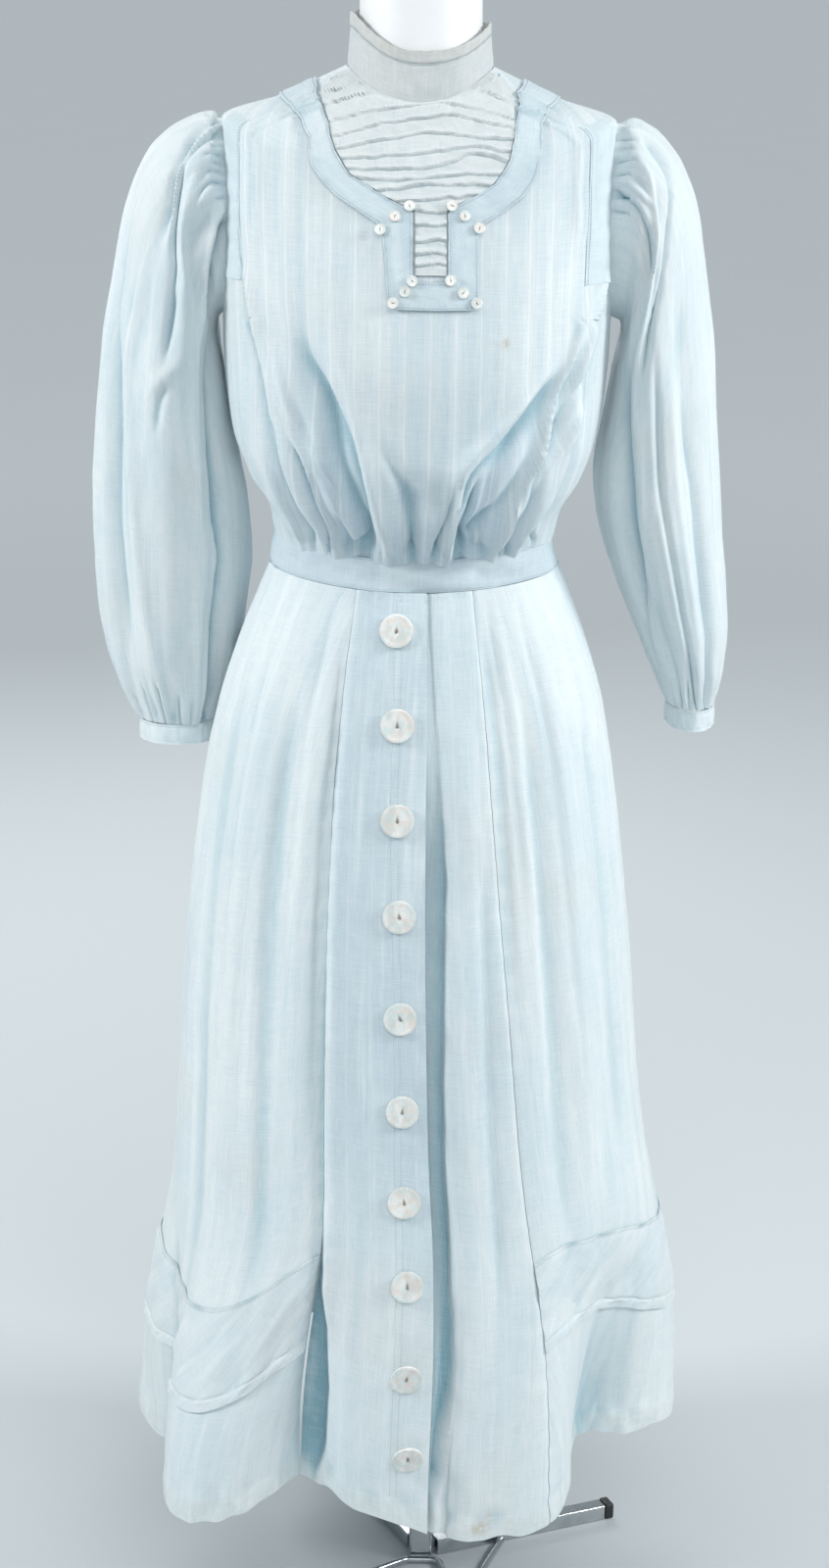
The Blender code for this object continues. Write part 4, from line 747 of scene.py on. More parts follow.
HOLLOW_STRENGTH = 1.2
SHOULDER_TUCKS = (-61.0, -55.5, -50.5, 49.5, 54.5, 60.0)
SHOULDER_TUCK_ROWS = tuple((deg, deg * 0.985, 0.66, 1.03, 0.0016, 0.8, 1.3) for deg in SHOULDER_TUCKS)


def crease_lines(rows, deg, s):
    """Creases along lines that run down the cloth, each fading out at its upper end."""
    total = np.zeros(np.broadcast(deg, s).shape)
    for places, height, before, after in rows:
        degs, levels = np.array(places[::-1], float).T
        line_deg = flow(np.clip(s, levels[0], levels[-1]), levels, degs)
        length = levels[-1] - levels[0]
        in_seam = levels[0] < 0.01
        fade = smooth((levels[-1] - s) / (0.30 * length)) * smooth((s - levels[0]) / 0.05 + in_seam * 0.8)
        total = total + height * fade * bump(turned(deg) - line_deg, before, after)
    return total


GATHER_FROM_DEG = -47.0
GATHER_TO_DEG = 50.0


def waist_gathers(deg, s):
    """Small uneven gathers that run up from the waist seam."""
    inside = smooth((deg - GATHER_FROM_DEG) / 10.0) * smooth((GATHER_TO_DEG - deg) / 10.0)
    middle = smooth((16.0 - np.abs(deg)) / 8.0)
    fade = smooth(s / 0.02 + 0.25) * smooth((0.17 - s + 0.05 * rumple(deg / 6.0, 0.5, 11)) / 0.15)
    small = rumple(deg / 2.6 + 0.6 * np.sin(s * 22), 3.0 * s, 12)
    close = smooth((0.085 - s + 0.03 * rumple(deg / 3.0, 0.5, 17)) / 0.07) * smooth(s / 0.02 + 0.3)
    height = fade * (0.0017 + 0.0016 * middle) * small
    return inside * (height + 0.0013 * close * rumple(deg / 1.15, 2.0 * s, 18))


def bodice_detail(deg, s):
    deg = turned(deg)
    side = np.sin(np.radians(deg)) * 0.16
    height = bodice_relief(deg, s) + crease_height(SHOULDER_TUCK_ROWS, deg, s)
    height = height + CREASE_STRENGTH * crease_lines(BODICE_CREASES, deg, s)
    height = height + HOLLOW_STRENGTH * crease_lines(BODICE_HOLLOWS, deg, s)
    height = height + np.where(np.abs(deg) < 88, waist_gathers(deg, s), back_gathers(deg, s))
    height = height * np.where(height < 0, 0.18 + 0.82 * smooth(s / 0.035), 0.40 + 0.60 * smooth(s / 0.055))
    height = height + 0.0036 * bump(np.abs(deg) - 92.0, 14.0, 14.0) * bump(s - 0.42, 0.12, 0.09)
    calm = 1 - 0.75 * smooth((s - 0.86) / 0.06)
    height = height + calm * 0.0011 * rumple(side / 0.030, s * 6.0, 13)
    height = height + calm * 0.00045 * rumple(side / 0.011, s * 17.0, 14)
    return height + armhole_puckers(deg, s)


def back_gathers(deg, s):
    fade = smooth(s / 0.02 + 0.25) * smooth((0.20 - s) / 0.18)
    inside = smooth((np.abs(deg) - 118.0) / 14.0)
    return 0.0018 * inside * fade * rumple(deg / 3.2, 3.0 * s, 15)


def armhole_puckers(deg, s):
    """Short puckers that point at the armhole seam."""
    near = smooth((np.abs(turned(deg)) - 52.0) / 16.0) * (np.abs(turned(deg)) < 88)
    rows = smooth((s - 0.50) / 0.06) * smooth((0.86 - s) / 0.05)
    return 0.0003 * near * rows * np.sin(s * 190 + 2.0 * rumple(s * 9.0, 0.5, 16))


bodice_fine = raised(bodice_base, bodice_detail, 1)


# Skirt creases: the angles and the places of both ends, the height, and the widths before and after the
# line. The back ones come on both sides

SKIRT_CREASES = (
    (-23.5, -20.5, 0.00, 0.70, -0.0030, 1.5, 0.8),
    (-19.5, -18.0, 0.06, 1.10, -0.0030, 0.9, 1.6),
    (-31.0, -28.0, 0.00, 0.52, -0.0022, 1.4, 2.0),
    (-40.0, -37.0, 0.10, 0.95, 0.0020, 2.2, 1.6),
    (-53.0, -50.0, 0.04, 0.60, -0.0022, 2.0, 1.6),
    (-70.0, -70.0, 0.05, 0.80, 0.0022, 2.4, 2.0),
    (10.5, 10.5, 0.30, 0.92, 0.0020, 1.0, 2.4),
    (17.5, 16.0, 0.25, 0.90, -0.0018, 1.4, 2.0),
    (28.0, 29.0, 0.00, 0.42, -0.0026, 1.0, 1.8),
    (31.0, 33.0, 0.00, 0.60, 0.0018, 1.4, 1.6),
    (41.0, 45.0, 0.00, 0.55, -0.0020, 1.6, 2.0),
    (53.0, 57.0, 0.02, 0.66, 0.0018, 2.0, 1.6),
    (70.0, 73.0, 0.05, 0.70, -0.0020, 2.0, 2.2),
    (112.0, 114.0, 0.02, 0.90, 0.0022, 2.4, 2.0),
    (-112.0, -114.0, 0.02, 0.80, 0.0022, 2.0, 2.4),
    (176.0, 176.0, 0.00, 0.80, -0.0030, 2.0, 2.0),
)
BACK_SKIRT_CREASES = (
    (140.0, 139.0, 0.00, 1.20, 0.0040, 4.0, 3.0),
    (161.0, 159.0, 0.00, 1.20, 0.0040, 3.4, 2.6),
)
TROUGH_PLACES = (0.70, 0.77, 0.81, 0.88, 0.96, 0.99)
TROUGH_WIDTHS = (0.6, 1.4, 3.0, 4.2, 4.0, 3.0)
RECESS_PLACES = (0.04, 0.13, 0.19, 0.29, 0.39, 0.50, 0.60, 0.70, 0.80, 0.86, 0.93, 0.97)
RECESS_WIDTHS = (1.2, 2.8, 4.2, 5.4, 4.7, 3.6, 3.7, 3.7, 3.8, 3.5, 2.7, 1.4)
HEM_DEPTH = 0.018


def edge_deg(key, t):
    return read(SEAM_ROWS, SEAM_COLUMNS, t, key)[0]


def skirt_rumples(deg, t):
    """Long soft wrinkles down the skirt and fine crumpling all over."""
    deg = turned(deg)
    around = np.radians(deg) * 0.20
    long = rumple(around / 0.024 + 0.8 * np.sin(t * 3.1), t * 3.4, 21)
    short = rumple(around / 0.013 + 0.5 * np.sin(t * 7.0), t * 9.0, 22)
    fine = rumple(around / 0.0065, t * 120.0, 23)
    lower = 0.6 + 0.6 * smooth((t - 0.35) / 0.5)
    return lower * (0.0013 * long + 0.0006 * short) + 0.00022 * fine


def seam_marks(deg, t):
    """A thin dip at each gore seam, with the small puckers that pull on it."""
    total = np.zeros(np.broadcast(deg, t).shape)
    for number, key in enumerate(("left_gore", "right_gore")):
        off = (turned(deg) - edge_deg(key, t)) * 0.0031
        total = total - 0.0011 * np.exp(-((off / 0.0022) ** 2))
        wave = np.sin(t * 210 + 3.0 * rumple(t * 14.0, 0.5, 31 + number))
        uneven = 0.5 + 0.5 * rumple(t * 9.0, 2.5, 33)
        total = total + 0.0008 * wave * np.exp(-((off / 0.011) ** 2)) * uneven
    off = (np.abs(turned(deg)) - BACK_SEAM_DEG) * 0.0036
    return total - 0.0011 * np.exp(-((off / 0.0022) ** 2))


def left_trough(deg, t):
    """The deep shadowed groove in front of the left band's free end."""
    off = turned(deg) - edge_deg("left_gore", t)
    wide = np.interp(t, TROUGH_PLACES, TROUGH_WIDTHS) + 0.3 * rumple(t * 16.0, 0.5, 35)
    depth = 0.0165 * smooth((t - 0.66) / 0.12) * smooth((1.015 - t) / 0.07)
    return -depth * smooth((off + 0.5) / 0.7) * smooth((wide - off) / 1.6 + 0.5)


def hem_mark(deg, t):
    """The turned-up hem, a little thicker than the cloth above it."""
    off = (1 - t) * SKIRT_LENGTH - HEM_DEPTH
    waver = 0.0021 * rumple(np.radians(turned(deg)) * 0.2 / 0.008, t * 40.0, 36)
    step = 0.0010 * smooth(-off / 0.0016) - 0.0007 * bump(off, 0.0016, 0.0016)
    return step + waver * np.exp(-((off / 0.012) ** 2))


def mirrored(rows):
    """The rows and their twins on the other side, whose widths before and after the line change places."""
    return rows + tuple((-row[0], -row[1], *row[2:5], *row[:4:-1]) for row in rows)


def skirt_detail(deg, t):
    height = fold_height(FRONT_SKIRT_FOLDS + mirrored(BACK_SKIRT_FOLDS), deg, t)
    height = height + crease_height(SKIRT_CREASES + mirrored(BACK_SKIRT_CREASES), deg, t)
    return height + skirt_rumples(deg, t) + seam_marks(deg, t) + left_trough(deg, t) + hem_mark(deg, t)


skirt_fine = raised(skirt_base, skirt_detail, -1)


def upward(height):
    """A height as a step along z."""
    return np.stack([0 * height, 0 * height, height], -1)


def scalloped(deg, t, points):
    """The same points with the hem's uneven edge let down or drawn up a little."""
    drop = 0.0034 * rumple(np.radians(turned(deg)) * 0.2 / 0.012, 0.5, 39) * smooth((t - 0.965) / 0.035)
    return points - upward(drop)


def free_edge_ripple(deg, t):
    """The small ripples along the buttoned panel's free edge."""
    off = (edge_deg("free_edge", t) - turned(deg)) * 0.0033
    wave = rumple(t * 46.0, 0.5, 37) * smooth((t - 0.10) / 0.2)
    return 0.0012 * wave * np.exp(-((off / 0.010) ** 2))


def recess_wall(t):
    """How far from the free edge the recess ends, in degrees."""
    waver = (0.4 + 0.25 * smooth((t - 0.6) / 0.2)) * rumple(t * 17.0, 0.5, 38) * smooth((t - 0.2) / 0.2)
    return np.interp(t, RECESS_PLACES, RECESS_WIDTHS) + waver


def under_recess(deg, t):
    """The shadowed recess beside the free edge, which ends in a wavy fold."""
    off = turned(deg) - edge_deg("free_edge", t)
    wall_at = recess_wall(t)
    depth = 0.0010 + 0.0052 * smooth((t - 0.14) / 0.16) + 0.0022 * smooth((t - 0.40) / 0.25)
    rim = 0.0018 * smooth((t - 0.16) / 0.14) * (1 - 0.75 * smooth((t - 0.66) / 0.14))
    rim = rim * bump(off - wall_at - 0.9, 0.9, 2.8)
    filled = 0.0068 * smooth((t - 0.80) / 0.10) * bump(off - 5.0, 2.4, 2.6)
    filled = filled * smooth((off - wall_at) / 0.8 + 0.5)
    return filled + rim - depth * smooth((wall_at - off) / 0.9 + 0.5) - LAP_DROP * smooth((9.0 - off) / 7.0)


def recess_shadow(deg, t):
    """How dark the recess is, from 0 to 1."""
    off = turned(deg) - edge_deg("free_edge", t)
    strength = 0.62 + 0.20 * smooth((t - 0.70) / 0.12)
    ends = smooth((t - 0.10) / 0.2) * smooth((1.0 - t) / 0.03)
    return strength * smooth((recess_wall(t) - off) / 1.2 + 0.5) * ends


# Sleeve creases: a line of places by angle and v, its height, and its widths towards the outer side and
# the body

LEFT_SLEEVE_CREASES = (
    (((16, 0.00), (23, 0.034), (32, 0.086), (45, 0.125), (54, 0.152), (67, 0.182), (70, 0.26)),
      -0.0056, 6.0, 3.2),
    (((24, 0.00), (31, 0.034), (40, 0.095), (52, 0.130), (64, 0.160), (75, 0.20), (80, 0.26)),
      0.0030, 3.6, 3.2),
    (((32, 0.00), (40, 0.080), (48, 0.115), (58, 0.137), (72, 0.167), (81, 0.201), (88, 0.227),
      (91, 0.295), (86, 0.400)), -0.0046, 3.2, 3.4),
    (((58, 0.06), (70, 0.120), (86, 0.170), (100, 0.215), (105, 0.290), (101, 0.420)),
      0.0058, 7.0, 11.0),
    (((88, 0.00), (100, 0.030), (117, 0.061), (131, 0.111), (137, 0.179), (135, 0.273), (131, 0.429),
      (129, 0.605), (133, 0.682), (131, 0.762), (129, 0.854), (130, 1.00)), -0.0120, 2.0, 17.0),
    (((79, 0.00), (90, 0.030), (105, 0.061), (118, 0.111), (124, 0.179), (122, 0.273), (118, 0.429),
      (116, 0.605), (120, 0.682), (118, 0.762), (116, 0.854), (118, 1.00)), 0.0042, 8.0, 3.0),
    (((20, 0.20), (30, 0.308), (31, 0.395), (38, 0.470), (42, 0.536), (44, 0.68), (50, 0.80),
      (52, 0.92)), -0.0068, 9.0, 4.0),
    (((64, 0.24), (60, 0.309), (54, 0.381), (50, 0.431), (52, 0.500), (57, 0.562), (64, 0.672),
      (70, 0.767), (73, 0.833), (73, 0.920)), 0.0055, 3.2, 8.0),
    (((96, 0.240), (92, 0.330), (86, 0.400)), -0.0034, 3.0, 3.0),
    (((104, 0.340), (93, 0.396), (70, 0.480)), 0.0032, 3.0, 4.0),
    (((92, 0.410), (86, 0.462), (82, 0.520)), -0.0028, 3.0, 3.0),
    (((36, 0.00), (41, 0.064)), -0.0034, 1.4, 1.4),
    (((43, 0.00), (46, 0.055)), -0.0024, 1.1, 1.1),
    (((50, 0.00), (51, 0.081)), -0.0034, 1.4, 1.4),
    (((55, 0.00), (57, 0.050)), -0.0024, 1.0, 1.0),
    (((60, 0.00), (62, 0.076)), -0.0032, 1.3, 1.3),
    (((66, 0.00), (70, 0.065), (75, 0.110)), -0.0036, 1.4, 2.0),
    (((75, 0.00), (79, 0.045)), -0.0022, 1.1, 1.1),
    (((8, 0.00), (6, 0.080)), -0.0036, 3.4, 3.4),
    (((-4, 0.00), (-8, 0.090)), -0.0034, 3.4, 3.4),
    (((-16, 0.00), (-22, 0.070)), -0.0034, 3.4, 3.4),
    (((-28, 0.00), (-34, 0.090)), -0.0036, 3.4, 3.4),
    (((-40, 0.00), (-44, 0.060)), -0.0030, 3.4, 3.4),
    (((-52, 0.00), (-57, 0.080)), -0.0034, 3.4, 3.4),
    (((-64, 0.00), (-68, 0.060)), -0.0028, 3.4, 3.4),
    (((74, 0.900), (75, 1.000)), -0.0044, 2.2, 2.2),
    (((55, 0.910), (52, 1.000)), -0.0034, 2.2, 2.2),
    (((96, 0.920), (98, 1.000)), -0.0036, 2.2, 2.2),
    (((110, 0.930), (112, 1.000)), -0.0030, 2.0, 2.0),
    (((34, 0.930), (31, 1.000)), -0.0032, 2.4, 2.4),
)
RIGHT_SLEEVE_CREASES = (
    (((26, 0.04), (33, 0.083), (41, 0.146), (54, 0.180), (70, 0.204), (81, 0.232), (92, 0.250),
      (105, 0.285), (109, 0.400)), -0.0056, 8.0, 2.0),
    (((46, 0.05), (58, 0.110), (70, 0.150), (83, 0.185), (96, 0.215), (112, 0.280), (118, 0.380)),
      0.0044, 3.0, 7.0),
    (((66, 0.00), (77, 0.050), (80, 0.120), (88, 0.180), (96, 0.230)), -0.0052, 1.8, 4.5),
    (((62, 0.01), (69, 0.069), (67, 0.150)), 0.0030, 3.0, 2.0),
    (((51, 0.00), (51, 0.070)), -0.0032, 1.3, 1.3),
    (((58, 0.00), (60, 0.050)), -0.0026, 1.1, 1.1),
    (((72, 0.00), (74, 0.055)), -0.0030, 1.2, 1.2),
    (((80, 0.00), (84, 0.050)), -0.0032, 1.4, 1.4),
    (((42, 0.00), (42, 0.060)), -0.0024, 1.2, 1.2),
    (((34, 0.00), (33, 0.080)), -0.0030, 1.5, 1.5),
    (((24, 0.00), (22, 0.060)), -0.0024, 1.4, 1.4),
    (((12, 0.00), (9, 0.080)), -0.0032, 3.4, 3.4),
    (((0, 0.00), (-4, 0.070)), -0.0030, 3.4, 3.4),
    (((-12, 0.00), (-16, 0.085)), -0.0034, 3.4, 3.4),
    (((-24, 0.00), (-30, 0.070)), -0.0032, 3.4, 3.4),
    (((-36, 0.00), (-42, 0.090)), -0.0034, 3.4, 3.4),
    (((-50, 0.00), (-55, 0.070)), -0.0030, 3.4, 3.4),
    (((-63, 0.00), (-67, 0.070)), -0.0030, 3.4, 3.4),
    (((135, 0.26), (127, 0.385), (120, 0.547), (133, 0.751), (146, 0.860), (150, 0.960)),
      -0.0062, 3.0, 8.0),
    (((122, 0.30), (115, 0.400), (110, 0.547), (122, 0.751), (136, 0.860)), 0.0036, 6.0, 3.0),
    (((98, 0.300), (95, 0.379), (93, 0.540), (90, 0.749), (92, 0.911), (84, 1.000)), -0.0036, 4.0, 2.4),
    (((66, 0.420), (65, 0.491), (57, 0.632), (57, 0.792), (61, 0.915), (60, 1.000)), -0.0036, 5.0, 3.0),
    (((78, 0.400), (76, 0.560), (74, 0.760), (77, 0.900)), 0.0026, 4.0, 5.0),
    (((36, 0.280), (33, 0.480), (34, 0.700), (40, 0.880)), -0.0034, 6.0, 4.0),
    (((70, 0.930), (69, 1.000)), -0.0038, 2.0, 2.0),
    (((100, 0.920), (103, 1.000)), -0.0036, 2.0, 2.0),
    (((116, 0.920), (119, 1.000)), -0.0032, 2.0, 2.0),
    (((132, 0.930), (135, 1.000)), -0.0030, 2.0, 2.0),
    (((44, 0.930), (42, 1.000)), -0.0032, 2.2, 2.2),
)


def drape_lines(rows, deg, v):
    """Creases along lines that run down a sleeve, soft at both ends unless they start or end in a seam."""
    total = np.zeros(np.broadcast(deg, v).shape)
    for places, height, before, after in rows:
        degs, levels = np.array(places, float).T
        line_deg = flow(np.clip(v, levels[0], levels[-1]), levels, degs)
        length = levels[-1] - levels[0]
        start = smooth((v - levels[0]) / (0.22 * length) + (levels[0] < 0.001))
        end = smooth((levels[-1] - v) / (0.30 * length) + (levels[-1] > 0.999))
        total = total + height * start * end * bump(turned(deg - line_deg), before, after)
    return total


def sleeve_detail(rows, creases, seed):
    base = sleeve_relief(rows)

    def height(deg, v):
        cuff = smooth((v - 0.84) / 0.12) * smooth((1.0 - v) / 0.03 + 0.4)
        small = rumple(turned(deg) / 7.0, v * 5.0, seed + 1)
        long = rumple(turned(deg) / 15.0 + 0.7 * np.sin(v * 4.0), v * 3.0, seed + 2)
        fine = rumple(turned(deg) / 5.0, v * 42.0, seed + 3)
        elbow = smooth((v - 0.30) / 0.15) * smooth((0.85 - v) / 0.2)
        across = rumple(turned(deg) / 26.0, v * 11.0 + 0.02 * turned(deg), seed + 4)
        total = 0.8 * base(deg, v) + 0.0020 * small * cuff + 0.0014 * long * smooth(v / 0.1)
        total = total + drape_lines(creases, deg, v) + 0.0003 * fine + 0.0009 * elbow * across
        total = total * (0.15 + 0.85 * smooth(v / 0.018))
        return total * (0.45 + 0.55 * smooth((1.0 - v) / 0.03))

    return height


# Meshes


REVERSED = [0, 3, 2, 1]
# The painted fold shade: the fold depth that gives full shade, the smoothing steps and the most shade
HOLLOW_DEPTH = 0.0032
HOLLOW_STEPS = 36
HOLLOW_LIMIT = 1.2
SHARP_ANGLE = math.radians(60)


def grid_normals(points, closed):
    """Unit normals of a grid of points, from its own rows and columns."""
    down = np.gradient(points, axis=0)
    if closed:
        along = (np.roll(points, -1, axis=1) - np.roll(points, 1, axis=1)) / 2
    else:
        along = np.gradient(points, axis=1)
    normal = np.cross(along, down)
    return normal / np.maximum(np.linalg.norm(normal, axis=-1, keepdims=True), 1e-12)


def flat_places(points, middle, gathered=0.0, gather_rows=None):
    """Where each point of a grid lies on the flat cloth, across and down, in metres."""
    across = np.linalg.norm(np.diff(points, axis=1), axis=-1)
    u = np.concatenate([np.zeros((len(points), 1)), np.cumsum(across, axis=1)], axis=1)
    length = u[:, -1:]
    u = u - u[:, middle:middle + 1]
    if gather_rows is not None:
        length = length[np.minimum(np.arange(len(points)), gather_rows)]
    u = u * (1 + gathered * (length.max() / length - 1))
    down = np.linalg.norm(np.diff(points[:, middle], axis=0), axis=-1)
    v = np.concatenate([[0.0], np.cumsum(down)])
    return np.stack([u, np.repeat(v[:, None], u.shape[1], axis=1)], -1)


def grid_faces(rows, cols, closed):
    """The quads of a grid of points, which may close round its columns."""
    spans = cols if closed else cols - 1
    i, j = np.meshgrid(np.arange(rows - 1), np.arange(spans), indexing="ij")
    k = (j + 1) % cols
    return np.stack([i * cols + j, i * cols + k, (i + 1) * cols + k, (i + 1) * cols + j], -1).reshape(-1, 4)


def shell_faces(rows, cols, closed):
    """The faces of a thin wall between an outer and an inner grid."""
    outer = grid_faces(rows, cols, closed)
    size = rows * cols
    faces = [outer, outer[:, REVERSED] + size]
    j = np.arange(cols if closed else cols - 1)
    k = (j + 1) % cols
    last = (rows - 1) * cols
    faces.append(np.stack([j, j + size, k + size, k], -1))
    faces.append(np.stack([last + j, last + k, last + k + size, last + j + size], -1))
    if not closed:
        i = np.arange(rows - 1) * cols
        faces.append(np.stack([i, i + cols, i + cols + size, i + size], -1))
        i = i + cols - 1
        faces.append(np.stack([i, i + size, i + cols + size, i + cols], -1))
    return np.concatenate(faces)


def place_attribute(mesh, name, values):
    attribute = mesh.attributes.new(name, "FLOAT_VECTOR", "POINT")
    attribute.data.foreach_set("vector", np.ascontiguousarray(values, np.float32).ravel())


def new_piece(name, points, faces, finish, flat=None, marks=None):
    """A mesh object in the row frame, smooth, with its flat places and its marks, which hold stains, tints
    and painted shade, as attributes.
    """
    mesh = bpy.data.meshes.new(name)
    points = np.asarray(points, float).reshape(-1, 3) + DRESS_PLACE
    mesh.from_pydata(points.tolist(), [], [list(face) for face in faces])
    if flat is not None:
        place_attribute(mesh, "flat", flat)
        place_attribute(mesh, "marks", marks)
    mesh.materials.append(finish)
    mesh.shade_smooth()
    mesh.set_sharp_from_angle(angle=SHARP_ANGLE)
    item = bpy.data.objects.new(name, mesh)
    bpy.context.scene.collection.objects.link(item)
    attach(item, "root")
    return item


def painted_fold_shade(points, normal, closed):
    """How far each point lies below the cloth round it: 0 on the ridges, 1 in the deep folds. It darkens the
    cloth's colour as painted shade in the folds.
    """
    soft = points
    for _ in range(HOLLOW_STEPS):
        tall = np.concatenate([soft[:1], soft, soft[-1:]])
        soft = (tall[:-2] + tall[2:] + 2 * soft) / 4
        before = np.concatenate([soft[:, -1:] if closed else soft[:, :1], soft[:, :-1]], axis=1)
        after = np.concatenate([soft[:, 1:], soft[:, :1] if closed else soft[:, -1:]], axis=1)
        soft = (before + after + 2 * soft) / 4
    return np.clip(((soft - points) * normal).sum(-1) / HOLLOW_DEPTH, 0, HOLLOW_LIMIT)


def shell(name, points, out, finish, closed=False, flat=None, stain=0.0, tint_and_shade=0.0, deep=0.0):
    """A thin cloth shell whose middle is a grid of points. out is 1 or -1, the side its normals point to."""
    normal = grid_normals(points, closed) * out
    rows, cols = points.shape[:2]
    half = normal * SHELL / 2
    layers = np.concatenate([(points + half).reshape(-1, 3), (points - half).reshape(-1, 3)])
    if flat is None:
        flat = flat_places(points, cols // 2)
    seed = float(sum(map(ord, name)) % 37)
    flat = np.concatenate([flat, np.full(flat.shape[:2] + (1,), seed)], -1).reshape(-1, 3)
    # The third mark is painted shade: darker colour in the folds, with deep adding more painted shade where
    # a piece asks for it
    marks = np.broadcast_arrays(stain, tint_and_shade, painted_fold_shade(points, normal, closed) + deep)
    marks = np.stack(marks, -1).reshape(-1, 3)
    faces = shell_faces(rows, cols, closed)
    if out < 0:
        faces = faces[:, ::-1]
    return new_piece(name, layers, faces, finish, np.tile(flat, (2, 1)), np.tile(marks, (2, 1)))


def blob(a, b, at_a, at_b, wide_a, wide_b):
    """A soft spot on a grid."""
    return np.exp(-((turned(a - at_a) / wide_a) ** 2) - ((b - at_b) / wide_b) ** 2)


# Materials


class Nodes:
    """Short calls for building a material's nodes."""

    def __init__(self, name):
        self.material = bpy.data.materials.new(name)
        self.material.use_nodes = True
        self.tree = self.material.node_tree
        self.shader = self.tree.nodes["Principled BSDF"]

    def put(self, socket, value):
        if isinstance(value, bpy.types.NodeSocket):
            self.tree.links.new(value, socket)
        else:
            socket.default_value = value

    def math(self, operation, a, b=0.0, c=0.0):
        node = self.tree.nodes.new("ShaderNodeMath")
        node.operation = operation
        for socket, value in zip(node.inputs, (a, b, c)):
            self.put(socket, value)
        return node.outputs[0]

    def mix(self, share, a, b):
        node = self.tree.nodes.new("ShaderNodeMix")
        node.data_type = "RGBA"
        for key, value in ((0, share), (6, a), (7, b)):
            self.put(node.inputs[key], value if not isinstance(value, tuple) else (*value, 1.0))
        return node.outputs[2]

    def times(self, a, b):
        return self.math("MULTIPLY", a, b)

    def cover(self, color, other, share, strength):
        """A colour partly covered by another."""
        return self.mix(self.times(share, strength), color, other)

    def ramp(self, value, low, high):
        """0 below low, 1 above high, smooth between."""
        node = self.tree.nodes.new("ShaderNodeMapRange")
        node.interpolation_type = "SMOOTHSTEP"
        for key, item in ((0, value), (1, low), (2, high), (3, 0.0), (4, 1.0)):
            self.put(node.inputs[key], item)
        return node.outputs[0]

    def noise(self, vector, scale, detail=3.0, rough=0.55):
        node = self.tree.nodes.new("ShaderNodeTexNoise")
        self.put(node.inputs["Vector"], vector)
        node.inputs["Scale"].default_value = scale
        node.inputs["Detail"].default_value = detail
        node.inputs["Roughness"].default_value = rough
        return node.outputs[0]

    def attribute(self, name):
        node = self.tree.nodes.new("ShaderNodeAttribute")
        node.attribute_name = name
        return node.outputs["Vector"]

    def parts(self, vector):
        node = self.tree.nodes.new("ShaderNodeSeparateXYZ")
        self.put(node.inputs[0], vector)
        return node.outputs[0], node.outputs[1], node.outputs[2]

    def vector(self, x, y, z):
        node = self.tree.nodes.new("ShaderNodeCombineXYZ")
        for socket, value in zip(node.inputs, (x, y, z)):
            self.put(socket, value)
        return node.outputs[0]

    def relief(self, height, distance, strength=1.0):
        node = self.tree.nodes.new("ShaderNodeBump")
        node.inputs["Strength"].default_value = strength
        node.inputs["Distance"].default_value = distance
        self.put(node.inputs["Height"], height)
        self.put(self.shader.inputs["Normal"], node.outputs[0])

    def finish(self, color, roughness, **constants):
        self.put(self.shader.inputs["Base Color"], color)
        self.put(self.shader.inputs["Roughness"], roughness)
        for key, value in constants.items():
            self.shader.inputs[key.replace("_", " ")].default_value = value
        return self.material


STRIPE_SPACING = 0.0205
STRIPE_WIDTH = 0.0021


def line(nodes, u, spacing, shift, width):
    """A soft line of a given width that comes back at each spacing."""
    place = nodes.math("ADD", u, shift)
    off = nodes.math("PINGPONG", place, spacing / 2)
    return nodes.math("SUBTRACT", 1.0, nodes.ramp(off, width * 0.35, width * 0.65))


